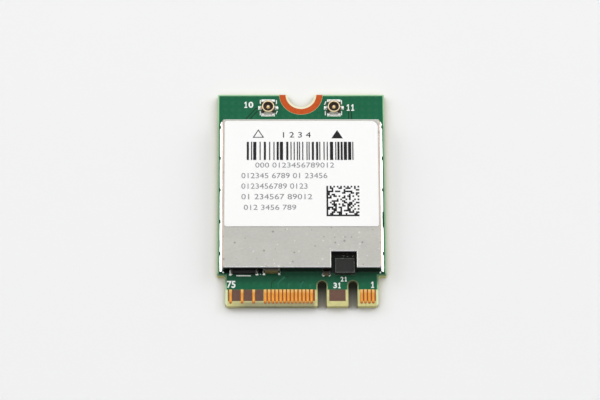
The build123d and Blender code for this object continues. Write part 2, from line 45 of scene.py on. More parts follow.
# measures of the board in millimetres that more than one piece needs
keyPlaces = (2.625, 6.625)
keyRadius, keyMiddle = 0.6, 2.9
shoulderWidth, tongueLength = 1.075, 4.2
print("frame loaded,", len(nodes), "nodes")


# ---- node trees

def tone(red, green, blue):
    # screen values to the linear colour that a shader takes
    linear = [(c / 255 / 12.92) if c < 11 else ((c / 255 + 0.055) / 1.055) ** 2.4 for c in (red, green, blue)]
    return tuple(linear) + (1.0,)


class Net:
    # a node tree, with short calls for the nodes that are added to it often

    def __init__(self, tree):
        self.tree = tree

    def feed(self, socket, value):
        # a link for a socket, a plain value for anything else
        if hasattr(value, "is_linked"):
            self.tree.links.new(value, socket)
        else:
            socket.default_value = value

    def add(self, kind, inputs=None, **settings):
        made = self.tree.nodes.new(kind)
        for key, value in settings.items():
            setattr(made, key, value)
        for key, value in (inputs or {}).items():
            self.feed(made.inputs[key], value)
        return made.outputs

    def shape(self, kind, inputs=None, **settings):
        return self.add("GeometryNode" + kind, inputs, **settings)[0]

    def calc(self, operation, *values, clamp=False):
        return self.add("ShaderNodeMath", dict(enumerate(values)), operation=operation, use_clamp=clamp)[0]

    def times(self, first, *others):
        for other in others:
            first = self.calc("MULTIPLY", first, other)
        return first

    def plus(self, first, second):
        return self.calc("ADD", first, second)

    def minus(self, first, second):
        return self.calc("SUBTRACT", first, second)

    def absolute(self, value):
        return self.calc("ABSOLUTE", value)

    def over(self, first, second):
        return self.calc("GREATER_THAN", first, second)

    def under(self, first, second):
        return self.calc("LESS_THAN", first, second)

    def larger(self, first, second):
        return self.calc("MAXIMUM", first, second)

    def mix(self, factor, first, second):
        return self.add("ShaderNodeMix", {0: factor, 6: first, 7: second}, data_type="RGBA")[2]

    def ramp(self, value, low, high, toLow=0.0, toHigh=1.0):
        return self.add("ShaderNodeMapRange", {0: value, 1: low, 2: high, 3: toLow, 4: toHigh})[0]

    def slide(self, value, start, end):
        # 0 to 1 from one place to another, given in millimetres
        return self.ramp(value, start * mm, end * mm)

    def parts(self, vector):
        return self.add("ShaderNodeSeparateXYZ", {0: vector})

    def facing(self):
        # the three parts of the surface's normal
        return self.parts(self.add("ShaderNodeNewGeometry")["Normal"])

    def vector(self, x, y, z):
        return self.add("ShaderNodeCombineXYZ", {0: x, 1: y, 2: z})[0]

    def group(self, group, where, **values):
        inputs = {key[0].upper() + key[1:]: value for key, value in values.items()}
        return self.add("ShaderNodeGroup", {"Vector": where, **inputs}, node_tree=group)

    def grain(self, where, scale, contrast, seed, detail=3.0):
        return self.group(surfaceGrain, where, scale=scale, contrast=contrast, seed=seed, detail=detail)

    def field(self, where, left, right, front, back, softness):
        # 1 inside a rectangle of the plan, given in millimetres
        return self.group(planField, where, centerX=(left + right) / 2 * mm, centerY=(front + back) / 2 * mm,
                          halfX=(right - left) / 2 * mm, halfY=(back - front) / 2 * mm, softness=softness * mm)["Mask"]


def newTree(kind, name, inputs, outputs):
    # a socket is given as its name and either its first value or its kind
    tree = bpy.data.node_groups.new(name, kind)
    for way, sockets in (("INPUT", inputs), ("OUTPUT", outputs)):
        for label, value in sockets.items():
            plain = {float: "Float", int: "Int"}.get(type(value))
            socket = tree.interface.new_socket(name=label, in_out=way, socket_type="NodeSocket" + (plain or value))
            if plain:
                socket.default_value = value
    return Net(tree), tree.nodes.new("NodeGroupInput").outputs, tree.nodes.new("NodeGroupOutput").inputs


def newEffect(name, inputs, *outputs):
    return newTree("ShaderNodeTree", name, {"Vector": "Vector", **inputs}, {label: "Float" for label in outputs})


# ---- effects shared by the finishes

def makeGrain():
    # cloudy or sandy variation, put out as a mask round 0.5 and as a height
    net, given, out = newEffect("surfaceGrain", {"Scale": 1000.0, "Detail": 3.0, "Contrast": 1.0, "Seed": 0.0},
                                "Mask", "Height")
    cloud = net.add("ShaderNodeTexNoise", {"Vector": given["Vector"], "Scale": given["Scale"],
                                           "Detail": given["Detail"], "W": given["Seed"]}, noise_dimensions="4D")[0]
    net.feed(out["Mask"], net.calc("MULTIPLY_ADD", net.minus(cloud, 0.5), given["Contrast"], 0.5, clamp=True))
    net.feed(out["Height"], cloud)
    return net.tree


def makeEdgeWear():
    # bright where a rounded copy of the surface leaves the true one, broken up by noise
    net, given, out = newEffect("edgeWear", {"Width": 0.00003, "Amount": 1.0, "Scale": 4000.0}, "Mask")
    soft = net.add("ShaderNodeBevel", {"Radius": given["Width"]}, samples=4)[0]
    plain = net.add("ShaderNodeNewGeometry")["Normal"]
    likeness = net.add("ShaderNodeVectorMath", {0: soft, 1: plain}, operation="DOT_PRODUCT")["Value"]
    breaks = net.add("ShaderNodeTexNoise", {"Vector": given["Vector"], "Scale": given["Scale"], "Detail": 2.0})[0]
    broken = net.times(net.ramp(likeness, 0.98, 0.75), net.ramp(breaks, 0.35, 0.6))
    net.feed(out["Mask"], net.calc("MULTIPLY", broken, given["Amount"], clamp=True))
    return net.tree


def makeDust():
    # single pale specks that lie on faces which look up
    net, given, out = newEffect("dustSpecks", {"Scale": 900.0, "Size": 0.12, "Share": 0.1}, "Mask")
    cells = net.add("ShaderNodeTexVoronoi", {"Vector": given["Vector"], "Scale": given["Scale"]})
    pick = net.add("ShaderNodeSeparateColor", {0: cells["Color"]})
    near = net.under(cells["Distance"], net.times(given["Size"], pick[1]))
    few = net.under(pick[0], given["Share"])
    net.feed(out["Mask"], net.times(near, few, net.over(net.facing()[2], 0.6)))
    return net.tree


def makeField():
    # 1 inside a rectangle of the plan, falling to 0 over the softness
    net, given, out = newEffect("planField", {"CenterX": 0.0, "CenterY": 0.0, "HalfX": 0.001, "HalfY": 0.001,
                                              "Softness": 0.00005}, "Mask")
    place = net.parts(given["Vector"])
    sides = []
    for axis, letter in enumerate("XY"):
        away = net.absolute(net.minus(place[axis], given["Center" + letter]))
        room = net.minus(given["Half" + letter], away)
        sides.append(net.calc("DIVIDE", room, given["Softness"], clamp=True))
    net.feed(out["Mask"], net.times(*sides))
    return net.tree


surfaceGrain = makeGrain()
edgeWear = makeEdgeWear()
dustSpecks = makeDust()
planField = makeField()
print("shared effects built")


# ---- finishes

def newFinish(name, color, roughness, metallic=0.0, specular=0.33):
    material = bpy.data.materials.new(name)
    material.use_nodes = True
    material.diffuse_color = color
    net = Net(material.node_tree)
    shader = net.tree.nodes["Principled BSDF"].inputs
    for key, value in (("Base Color", color), ("Roughness", roughness), ("Metallic", metallic),
                       ("Specular IOR Level", specular)):
        shader[key].default_value = value
    return material, net, shader, net.add("ShaderNodeTexCoord")["Object"]


def endFinish(net, shader, base, height, depth, rough=None):
    net.feed(shader["Base Color"], base)
    if rough is not None:
        net.feed(shader["Roughness"], rough)
    bump = net.add("ShaderNodeBump", {"Height": height, "Distance": depth, "Strength": 1.0})
    net.feed(shader["Normal"], bump[0])


maskLook = {"roughness": 0.3, "specular": 0.18, "cloudScale": 260.0, "fineScale": 6500.0, "weaveScale": 330.0,
            "weaveShow": 0.07, "weaveColor": tone(96, 150, 110), "dustScale": 1300.0, "dustShare": 0.035,
            "dustTone": tone(205, 214, 204), "bump": 0.000006, "seed": 2.0}


def makeMask(name, color, deep, **changes):
    # solder mask: a glossy film that shows the glass weave below it
    look = dict(maskLook, **changes)
    material, net, shader, where = newFinish(name, color, look["roughness"], specular=look["specular"])
    cloud = net.grain(where, look["cloudScale"], 1.6, look["seed"])
    fine = net.grain(where, look["fineScale"], 1.2, look["seed"] + 3)
    threads = [net.add("ShaderNodeTexWave", {"Vector": where, "Scale": look["weaveScale"], "Distortion": 1.5,
                                             "Detail": 1.0}, wave_type="BANDS", bands_direction=way)[1] for way in "XY"]
    cloth = net.times(*threads)
    base = net.mix(cloud["Mask"], color, deep)
    base = net.mix(net.times(cloth, look["weaveShow"]), base, look["weaveColor"])
    if "canShade" in look:
        # painted shade: its upper side is painted darker towards the front wall of the can
        shade, share, start, full, end = look["canShade"]
        place = net.parts(where)
        near = net.times(net.slide(place[1], start, full), net.slide(place[1], end + 0.3, end),
                         net.slide(place[2], 0.5, 0.7))
        base = net.mix(net.times(near, share), base, shade)
    dust = net.group(dustSpecks, where, scale=look["dustScale"], size=0.16, share=look["dustShare"])["Mask"]
    base = net.mix(net.times(dust, 0.7), base, look["dustTone"])
    rough = net.ramp(fine["Mask"], 0.2, 0.8, look["roughness"] - 0.06, look["roughness"] + 0.08)
    height = net.plus(fine["Height"], net.times(cloth, 0.6))
    endFinish(net, shader, base, height, look["bump"], net.plus(rough, net.times(dust, 0.4)))
    return material


# canShade: tone, share, and where along the card it starts, is full and ends, in millimetres
pourGreen = makeMask("maskOverCopper", tone(22, 104, 70), tone(16, 92, 62),
                     canShade=(tone(8, 36, 24), 0.62, -12.2, -10.4, -9.0))
# painted shade at the key notches' heads and the shoulders
thinGreen = makeMask("maskOverLaminate", tone(172, 216, 172), tone(150, 202, 154), seed=5.0,
                     canShade=(tone(60, 84, 58), 0.72, -12.3, -11.5, -10.65))
# painted shade: the dark mask seen inside the can's bay and window
bayGreen = makeMask("maskInBay", tone(10, 22, 15), tone(6, 14, 10), seed=9.0, weaveShow=0.0, dustShare=0.08)
traceGreen = makeMask("maskOverTrace", tone(38, 110, 82), tone(32, 102, 76), seed=11.0)
# also painted shadow: the strip under the can's right front wall
gapGreen = makeMask("maskInGap", tone(22, 62, 42), tone(16, 48, 34), seed=7.0, weaveShow=0.03)


def makeLaminate():
    # bare glass-fibre board: plies along the edge, inner copper seen brown through the tongue
    look = {"plyScale": 1900.0, "fibreScale": 2600.0, "copperFront": -14.32, "copperBack": -12.58,
            "besideMask": tone(120, 150, 112), "notchHead": tone(58, 72, 48), "tongueSide": tone(222, 238, 196),
            "soil": tone(138, 136, 108), "routed": tone(58, 50, 38), "screwRim": tone(238, 238, 206)}
    material, net, shader, where = newFinish("glassLaminate", tone(226, 214, 150), 0.55)
    stretch = net.add("ShaderNodeMapping", {"Vector": where, "Scale": (1.0, 1.0, 9.0)})[0]
    plies = net.grain(stretch, look["plyScale"], 1.8, 1.0)
    fibres = net.grain(where, look["fibreScale"], 1.3, 4.0)["Mask"]
    base = net.mix(plies["Mask"], tone(220, 214, 148), tone(188, 184, 116))
    base = net.mix(net.times(fibres, 0.3), base, tone(214, 208, 150))
    brown = net.mix(fibres, tone(112, 80, 64), tone(92, 62, 52))
    warm = net.mix(fibres, tone(160, 80, 36), tone(136, 62, 26))
    for left, right, inner in ((-9.6, -4.95, brown), (-4.95, 1.72, warm), (3.52, 5.7, brown), (7.52, 9.62, warm)):
        base = net.mix(net.field(where, left, right, look["copperFront"], look["copperBack"], 0.05), base, inner)
    x, y, z = net.parts(where)
    flat = net.ramp(net.absolute(net.facing()[2]), 0.5, 0.8)
    base = net.mix(net.times(flat, net.slide(y, 0.0, 1.0)), base, look["screwRim"])
    # rims beside the mask: dull at the key notches, with painted shade at their heads, pale at the tongue's outer sides
    outer = net.slide(net.absolute(x), 9.6, 9.75)
    beside = net.times(flat, net.slide(y, -12.8, -12.6), net.slide(y, 0.0, -1.0), net.minus(1.0, outer))
    base = net.mix(net.times(beside, 0.75), base, look["besideMask"])
    base = net.mix(net.times(beside, net.slide(y, -12.4, -11.7), 0.75), base, look["notchHead"])
    base = net.mix(net.times(flat, outer, net.slide(y, -10.6, -11.0), 0.8), base, look["tongueSide"])
    # the bare strip at the front of the tongue is darker left of the notches
    strip = net.times(net.slide(x, -9.4, -7.2), net.slide(x, 1.85, 1.5), net.slide(y, -14.3, -14.55),
                      net.slide(z, 0.02, 0.1))
    base = net.mix(net.times(strip, 0.8), base, look["soil"])
    upright = net.minus(1.0, flat)
    for center in keyPlaces:
        # painted shade: the key notches are painted dark inside
        routed = net.field(where, center - 0.66, center + 0.66, -15.15, -11.45, 0.02)
        base = net.mix(net.times(routed, upright, 0.85), base, look["routed"])
    endFinish(net, shader, base, plies["Height"], 0.000012)
    return material


def makeGold():
    # plated contacts: warm gold, pale at the mask, darker and redder at the tips, rub marks along them
    material, net, shader, where = newFinish("contactGold", tone(208, 145, 69), 0.4, metallic=1.0)
    along = net.parts(where)[1]
    drawn = net.add("ShaderNodeMapping", {"Vector": where, "Scale": (9.0, 0.7, 1.0)})[0]
    rub = net.grain(drawn, 1500.0, 2.0, 3.0)
    cloud = net.grain(where, 900.0, 1.4, 8.0)
    base = net.mix(cloud["Mask"], tone(208, 145, 69), tone(204, 135, 57))
    base = net.mix(net.slide(along, -13.3, -12.75), base, tone(222, 182, 110))
    base = net.mix(net.slide(along, -14.2, -14.62), base, tone(140, 69, 25))
    endFinish(net, shader, base, rub["Height"], 0.000002, net.ramp(rub["Mask"], 0.0, 1.0, 0.34, 0.5))
    return material


def addCanMarks(net, look, where, base, rough, height):
    # the drawn walls are smoother than the rolled roof, and painted darker towards the top bend as painted shade
    side, front, up = net.facing()
    steep = net.absolute(up)
    place = net.parts(where)
    roof = net.ramp(steep, 0.25, 0.8)
    rough = net.add("ShaderNodeMix", {0: roof, 2: look["wallRoughness"], 3: rough})[0]
    wall = net.mix(net.slide(place[2], 0.9, 1.9), look["wallFoot"], look["wallTop"])
    # painted shade: the front bend is painted darker to dim its highlight
    base = net.mix(net.ramp(front, -0.06, -0.3), base, look["frontTone"])
    base = net.mix(net.ramp(steep, 0.82, 0.3), base, wall)
    # flux stains the two long bends, and the back bend is painted darker as painted shade
    bend = net.times(net.ramp(net.absolute(side), 0.12, 0.4), net.ramp(steep, 0.2, 0.5))
    outer = net.slide(net.absolute(place[0]), 9.9, 10.0)
    base = net.mix(net.times(bend, outer), base, look["sideTone"])
    base = net.mix(net.ramp(front, 0.08, 0.4), base, look["backTone"])
    # the roof carries small dents and pale pin specks
    pits = net.add("ShaderNodeTexVoronoi", {"Vector": where, "Scale": 780.0, "Randomness": 1.0},
                   voronoi_dimensions="2D")
    pick = net.add("ShaderNodeSeparateColor", {0: pits["Color"]})
    reach = net.ramp(pick[1], 0.0, 1.0, 0.06, 0.17)
    inside = net.calc("SUBTRACT", 1.0, net.calc("DIVIDE", pits["Distance"], reach), clamp=True)
    hollow = net.times(inside, net.under(pick[0], 0.4))
    height = net.minus(net.times(height, roof), net.times(hollow, 2.2))
    base = net.mix(net.times(hollow, roof, 0.8), base, look["pitTone"])
    specks = net.group(dustSpecks, where, scale=1900.0, size=0.3, share=0.4)["Mask"]
    base = net.mix(net.times(specks, 0.35), base, look["speckTone"])
    return base, rough, height


metalLook = {"roughness": 0.4, "sandScale": 4200.0, "sandContrast": 1.8, "cloudScale": 1500.0, "seed": 10.0,
             "wear": 0.4, "wearWidth": 0.00003, "wornColor": tone(255, 255, 252), "bump": 0.000005,
             "stretch": (1.0, 1.0, 1.0)}


def makeMetal(name, color, deep, **changes):
    # sheet metal, plating and solder: speckled colour, worn edges, light scratches
    look = dict(metalLook, **changes)
    material, net, shader, where = newFinish(name, color, look["roughness"], metallic=1.0)
    drawn = net.add("ShaderNodeMapping", {"Vector": where, "Scale": look["stretch"]})[0]
    sand = net.grain(drawn, look["sandScale"], look["sandContrast"], look["seed"], 4.0)
    cloud = net.grain(where, look["cloudScale"], 1.5, look["seed"] + 2)["Mask"]
    worn = net.group(edgeWear, where, width=look["wearWidth"], amount=look["wear"])["Mask"]
    base = net.mix(sand["Mask"], deep, color)
    base = net.mix(net.times(cloud, 0.25), base, deep)
    base = net.mix(worn, base, look["wornColor"])
    rough = net.ramp(cloud, 0.0, 1.0, look["roughness"] - 0.05, look["roughness"] + 0.09)
    height = sand["Height"]
    if "wallRoughness" in look:
        base, rough, height = addCanMarks(net, look, where, base, rough, height)
    endFinish(net, shader, base, height, look["bump"], rough)
    return material


laminate = makeLaminate()
contactGold = makeGold()
shieldMetal = makeMetal(
    "shieldNickel", tone(191, 190, 184), tone(177, 176, 170), roughness=0.36, sandContrast=1.5, cloudScale=700.0,
    seed=1.0, wear=0.45, wearWidth=0.00005, wornColor=tone(250, 250, 246), bump=0.000003, stretch=(0.6, 1.0, 1.0),
    wallRoughness=0.09, wallTop=tone(68, 65, 62), wallFoot=tone(100, 99, 96), pitTone=tone(104, 102, 96),
    sideTone=tone(166, 142, 128), backTone=tone(172, 176, 168), frontTone=tone(158, 159, 162),
    speckTone=tone(226, 226, 220))
ringCopper = makeMetal("ringCopper", tone(199, 96, 50), tone(182, 76, 37), roughness=0.34, sandScale=3200.0,
                       cloudScale=900.0, seed=4.0, wear=0.3, wornColor=tone(246, 168, 120), bump=0.000003)
tinned = makeMetal("brightSolder", tone(238, 238, 236), tone(216, 216, 213), roughness=0.3, sandScale=2600.0,
                   cloudScale=1200.0, seed=6.0, wear=0.2, bump=0.000008)
frostSolder = makeMetal("frostSolder", tone(250, 250, 248), tone(232, 232, 229), roughness=0.52, sandScale=2600.0,
                        sandContrast=1.6, cloudScale=1200.0, seed=7.0, wear=0.0, bump=0.000006)
# painted shade: the end caps of the front parts are painted dark, as in the can's shade
dullTin = makeMetal("dullTin", tone(94, 92, 89), tone(66, 65, 62), wornColor=tone(200, 200, 196))
capMetal = makeMetal("endCapTin", tone(184, 183, 178), tone(154, 153, 147), roughness=0.34, sandContrast=2.0,
                     seed=9.0, wornColor=tone(250, 250, 247))
socketGold = makeMetal("socketGold", tone(246, 232, 200), tone(222, 198, 152), sandScale=3000.0, sandContrast=1.5,
                       cloudScale=1400.0, seed=11.0, wear=0.6, wornColor=tone(255, 240, 196), bump=0.000003)


def makePaper():
    # coated label stock: faint fibres, a trace of grey handling marks
    material, net, shader, where = newFinish("labelStock", tone(254, 254, 253), 0.5, specular=0.23)
    fibre = net.grain(where, 3800.0, 1.6, 2.0, 5.0)
    smear = net.grain(where, 140.0, 2.2, 6.0)
    base = net.mix(net.times(fibre["Mask"], 0.35), tone(255, 255, 254), tone(248, 248, 247))
    base = net.mix(net.ramp(smear["Mask"], 0.72, 1.0, 0.0, 0.2), base, tone(232, 232, 231))
    endFinish(net, shader, base, fibre["Height"], 0.000004, net.ramp(fibre["Mask"], 0.0, 1.0, 0.44, 0.6))
    return material


mattLook = {"roughness": 0.5, "specular": 0.33, "scale": 4200.0, "contrast": 1.8, "seed": 1.0, "wear": 0.5,
            "wearWidth": 0.00004, "wornColor": tone(120, 120, 116), "bump": 0.000006}
inkLook = {"wear": 0.0, "scale": 9000.0, "specular": 0.2, "bump": 0.000001}


def makeMatt(name, color, deep, **changes):
    # moulded, pressed or printed matter: sandy colour and bare edges
    look = dict(mattLook, **changes)
    material, net, shader, where = newFinish(name, color, look["roughness"], specular=look["specular"])
    sand = net.grain(where, look["scale"], look["contrast"], look["seed"], 5.0)
    worn = net.group(edgeWear, where, width=look["wearWidth"], amount=look["wear"])["Mask"]
    base = net.mix(sand["Mask"], deep, color)
    base = net.mix(worn, base, look["wornColor"])
    # painted shade: faces that look up are painted darker
    if "topTone" in look:
        base = net.mix(net.ramp(net.facing()[2], 0.35, 0.75), base, look["topTone"])
    if "border" in look:
        # painted highlight: a lighter rim round the flat of the top, on the bevelled edge
        *corners, rimTone = look["border"]
        rim = net.times(net.minus(1.0, net.field(where, *corners, 0.05)), net.ramp(net.facing()[2], 0.3, 0.6))
        base = net.mix(net.times(rim, sand["Mask"]), base, rimTone)
    rough = net.ramp(sand["Mask"], 0.0, 1.0, look["roughness"] - 0.07, look["roughness"] + 0.1)
    endFinish(net, shader, base, sand["Height"], look["bump"], rough)
    return material


labelStock = makePaper()
# the coil's border is a painted highlight round its bevelled top
coilPowder = makeMatt("coilPowder", tone(46, 48, 45), tone(26, 27, 26), scale=5200.0, specular=0.2, wear=0.6,
                      wearWidth=0.00009, border=(4.43, 6.78, -10.58, -8.72, tone(110, 114, 108)))
blackMould = makeMatt("blackMould", tone(22, 21, 22), tone(12, 11, 12), roughness=0.42, specular=0.2, seed=3.0,
                      wear=0.2)
tanCeramic = makeMatt("tanCeramic", tone(120, 104, 62), tone(84, 72, 40), seed=5.0, wornColor=tone(196, 176, 132))
# painted light and shade: a lighter copy of tanCeramic, its front faces painted lit and its top faces painted in shade
shadedCeramic = makeMatt("shadedCeramic", tone(158, 140, 92), tone(118, 102, 62), seed=5.0,
                         wornColor=tone(196, 176, 132), topTone=tone(50, 45, 34))
whiteCeramic = makeMatt("whiteCeramic", tone(226, 222, 210), tone(198, 193, 180), seed=6.0,
                        wornColor=tone(244, 242, 236))
darkInsulator = makeMatt("darkInsulator", tone(52, 36, 28), tone(26, 18, 15), seed=8.0, wear=0.3,
                         wornColor=tone(120, 92, 60))
legendWhite = makeMatt("legendWhite", tone(250, 252, 250), tone(232, 238, 232), seed=9.0, wear=0.0,
                       wornColor=tone(236, 240, 236), specular=0.2)
inkBlack = makeMatt("inkBlack", tone(34, 34, 36), tone(14, 14, 16), seed=10.0, **inkLook)
inkGrey = makeMatt("inkGrey", tone(158, 158, 162), tone(124, 124, 128), seed=12.0, **inkLook)
print("finishes built")


def dress(material, *names):
    for name in names:
        coats = nodes[name].data.materials
        for number in range(len(coats)):
            coats[number] = material


dress(laminate, "laminate_board")
dress(thinGreen, "solder_mask_top", "solder_mask_bottom")
dress(contactGold, "contact_fingers_top", "contact_fingers_bottom", "test_pads")
dress(ringCopper, "mounting_ring_top", "mounting_ring_bottom")
dress(tinned, "part_lands", "shield_ground_lands", "shield_solder")
dress(frostSolder, "receptacle_lands", "receptacle_solder")
dress(shieldMetal, "shield_can", "crystal_lid")
dress(labelStock, "label")
dress(inkBlack, "label_print")
dress(legendWhite, "legend_print")
dress(coilPowder, "power_coil")
dress(tanCeramic, "bulk_capacitor_body", "front_capacitor_bodies", "capacitor_bodies")
dress(whiteCeramic, "crystal_tray", "tuning_coil_bodies", "diplexer_bodies")
dress(blackMould, "filter_body", "resistor_bodies", "radio_chip", "bluetooth_chip", "memory_chip",
      "power_converter", "antenna_amplifiers")
for name in nodes:
    if name.endswith(("_joints", "_feet", "_caps")):
        dress(capMetal, name)
    if name.endswith("_insulator"):
        dress(darkInsulator, name)
    if name.endswith(("_shell", "_antenna_pin")):
        dress(socketGold, name)


# ---- making pieces

def addPiece(name, mesh, material, keepSharp=35.0):
    piece = bpy.data.objects.new(name, mesh)
    bpy.context.scene.collection.objects.link(piece)
    if material:
        mesh.materials.clear()
        mesh.materials.append(material)
    mesh.polygons.foreach_set("use_smooth", [True] * len(mesh.polygons))
    mesh.set_sharp_from_angle(angle=math.radians(keepSharp))
    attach(piece, "root")
    return piece


def meshOf(holder):
    # the finished mesh of a scratch object, brought from millimetres to metres
    bpy.context.scene.collection.objects.link(holder)
    bpy.context.view_layer.update()
    mesh = bpy.data.meshes.new_from_object(holder.evaluated_get(bpy.context.evaluated_depsgraph_get()))
    bpy.data.objects.remove(holder)
    mesh.transform(Matrix.Scale(mm, 4))
    return mesh


def cleanMesh(mesh, gap=2e-8):
    shape = bmesh.new()
    shape.from_mesh(mesh)
    bmesh.ops.remove_doubles(shape, verts=shape.verts, dist=gap)
    bmesh.ops.recalc_face_normals(shape, faces=shape.faces)
    shape.to_mesh(mesh)
    shape.free()
    return mesh


def nodeShape(name):
    # the loose triangles of a CAD node, merged
    shape = bmesh.new()
    shape.from_mesh(nodes[name].data)
    bmesh.ops.remove_doubles(shape, verts=shape.verts, dist=1e-8)
    return shape


def endShape(name, shape):
    mesh = bpy.data.meshes.new(name)
    shape.to_mesh(mesh)
    shape.free()
    return mesh


def flatShape(name, loops, low, thickness):
    # closed outlines in millimetres: a loop that lies inside another one is a hole
    data = bpy.data.curves.new(name, "CURVE")
    data.dimensions = "2D"
    data.fill_mode = "BOTH"
    data.extrude = thickness / 2
    for loop in loops:
        spline = data.splines.new("POLY")
        spline.points.add(len(loop) - 1)
        for point, (x, y) in zip(spline.points, loop):
            point.co = (x, y, low + thickness / 2, 1.0)
        spline.use_cyclic_u = True
    mesh = meshOf(bpy.data.objects.new(name, data))
    middle = sum(vertex.co.z for vertex in mesh.vertices) / len(mesh.vertices)
    mesh.transform(Matrix.Translation((0, 0, (low + thickness / 2) * mm - middle)))
    return cleanMesh(mesh)


def boxLoop(left, right, front, back):
    return [(left, front), (right, front), (right, back), (left, back)]


def arc(centerX, centerY, radius, start, end, steps=14):
    turns = (math.radians(start + (end - start) * step / steps) for step in range(steps + 1))
    return [(centerX + radius * math.cos(turn), centerY + radius * math.sin(turn)) for turn in turns]


def islandBoxes(name):
    # low and high corner of each separate solid of a CAD node, in millimetres
    shape = nodeShape(name)
    seen = set()
    boxes = []
    for start in shape.verts:
        if start in seen:
            continue
        group, waiting = [], [start]
        seen.add(start)
        while waiting:
            vertex = waiting.pop()
            group.append(vertex.co / mm)
            for edge in vertex.link_edges:
                other = edge.other_vert(vertex)
                if other not in seen:
                    seen.add(other)
                    waiting.append(other)
        boxes.append((Vector(map(min, *group)), Vector(map(max, *group))))
    shape.free()
    return sorted(boxes, key=lambda box: (round(box[0].y, 2), round(box[0].x, 2)))


def boxOf(name):
    low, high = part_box(name)
    return low / mm, high / mm


def newGrower(name, inputs):
    net, given, out = newTree("GeometryNodeTree", name, {"Geometry": "Geometry", **inputs, "Finish": "Material"},
                              {"Geometry": "Geometry"})
    net.tree.is_modifier = True
    return net, given, out


def endGrower(net, given, out, geometry):
    real = net.shape("RealizeInstances", {"Geometry": geometry})
    net.feed(out[0], net.shape("SetMaterial", {"Geometry": real, "Material": given["Finish"]}))
    return net.tree


def growPiece(name, tree, points, edges, settings, attributes=None, flip=False):
    # runs a geometry tree over points or edges given in millimetres and keeps the plain mesh
    base = bpy.data.meshes.new(name)
    base.from_pydata(points, edges, [])
    for label, values in (attributes or {}).items():
        base.attributes.new(label, "FLOAT", "POINT").data.foreach_set("value", values)
    holder = bpy.data.objects.new(name + "Base", base)
    grow = holder.modifiers.new("grow", "NODES")
    grow.node_group = tree
    for item in tree.interface.items_tree:
        if item.item_type == "SOCKET" and item.in_out == "INPUT" and item.name in settings:
            grow[item.identifier] = settings[item.name]
    mesh = cleanMesh(meshOf(holder))
    if flip:
        # mirrored to the underside of the board
        mesh.transform(Matrix.Diagonal((1, 1, -1, 1)))
        mesh.transform(Matrix.Translation((0, 0, 2 * points[0][2] * mm)))
        mesh.flip_normals()
    return addPiece(name, mesh, None)


def roundEdges(shape, width, steps, sharpest):
    # merges the flat faces and rounds the edges between them
    bmesh.ops.dissolve_limit(shape, angle_limit=math.radians(1.0), verts=shape.verts, edges=shape.edges)
    edges = [edge for edge in shape.edges
             if len(edge.link_faces) == 2 and edge.calc_face_angle(0) > math.radians(sharpest)]
    bmesh.ops.bevel(shape, geom=edges, offset=width * mm, segments=steps, affect="EDGES", profile=0.6,
                    clamp_overlap=True)
    bmesh.ops.triangulate(shape, faces=[face for face in shape.faces if len(face.verts) > 4])


def softCopy(name, nodeName, material, width, steps=2):
    # the CAD node's own shape with its edges rounded
    shape = nodeShape(nodeName)
    roundEdges(shape, width, steps, 25.0)
    piece = addPiece(name, endShape(name, shape), material, keepSharp=50.0)
    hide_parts(nodeName)


# ---- green mask over copper: the pour, its clearances and the traces

def pourOutline(front, inset, clear, keyGap):
    # the board's outline set inwards, and kept clear of the screw ring and the key notches
    low, high = boxOf("laminate_board")
    half, tongueHalf = high.x - inset, high.x - shoulderWidth - inset
    shoulder, back = low.y + tongueLength + inset, high.y - inset
    turn = math.degrees(math.asin(inset / clear))
    outline = [(-half, shoulder), (-half, back)] + arc(0, high.y, clear, 180 + turn, 360 - turn, 28)
    outline += [(half, back), (half, shoulder), (tongueHalf, shoulder), (tongueHalf, front)]
    radius = keyRadius + keyGap
    for center in reversed(keyPlaces):
        outline += [(center + radius, front)] + arc(center, low.y + keyMiddle, radius, 0, 180)
        outline += [(center - radius, front)]
    return outline + [(-tongueHalf, front), (-tongueHalf, shoulder)]


def makeTopPour():
    look = {"inset": 0.18, "clear": 2.88, "keyGap": 0.16, "landGap": 0.02, "lift": 0.006, "wallStrip": 0.36,
            "endStrip": 0.45, "corner": 0.8, "backStrip": 0.18, "arm": 0.28, "armGap": 0.11, "blockGap": 0.01,
            "footGap": 0.12}
    maskLow, maskHigh = boxOf("solder_mask_top")
    loops = [pourOutline(maskLow.y, look["inset"], look["clear"], look["keyGap"])]

    # under the can and along its ground strips the pour stays open
    low, high = boxOf("shield_can")
    wallHalf, corner = high.x + look["wallStrip"], high.x - look["corner"]
    wallFront, wallBack = low.y + look["endStrip"], high.y - look["endStrip"]
    strip = high.y + look["backStrip"]
    hole = [(wallHalf, wallFront), (wallHalf, wallBack), (corner, wallBack), (corner, strip), (-corner, strip),
            (-corner, wallBack), (-wallHalf, wallBack), (-wallHalf, wallFront)]
    gap = look["landGap"]
    for name in ("filter_caps", "bulk_capacitor_caps", "power_coil"):
        low, high = boxOf(name)
        hole += [(low.x - gap, wallFront), (low.x - gap, low.y - gap), (high.x + gap, low.y - gap),
                 (high.x + gap, wallFront)]
    loops.append(hole)
    low, high = boxOf("front_capacitor_caps")
    loops.append(boxLoop(low.x - gap, high.x + gap, low.y - gap, high.y + 0.05))

    # a cross round each receptacle
    for side in ("left", "right"):
        low, high = boxOf(side + "_antenna_insulator")
        shellLow, shellHigh = boxOf(side + "_antenna_shell")
        pinLow, pinHigh = boxOf(side + "_antenna_pin")
        x1, x2 = low.x - look["blockGap"], high.x + look["blockGap"]
        left, right = min(shellLow.x, pinLow.x) - look["armGap"], max(shellHigh.x, pinHigh.x) + look["armGap"]
        middle, back = (low.y + high.y) / 2, shellHigh.y + look["footGap"]
        front, y1, y2 = 2 * middle - back, middle - look["arm"], middle + look["arm"]
        loops.append([(x1, front), (x2, front), (x2, y1), (right, y1), (right, y2), (x2, y2), (x2, back),
                      (x1, back), (x1, y2), (left, y2), (left, y1), (x1, y1)])
    mesh = flatShape("copper_pour_relief", loops, maskHigh.z, look["lift"])
    addPiece("copper_pour_relief", mesh, pourGreen)


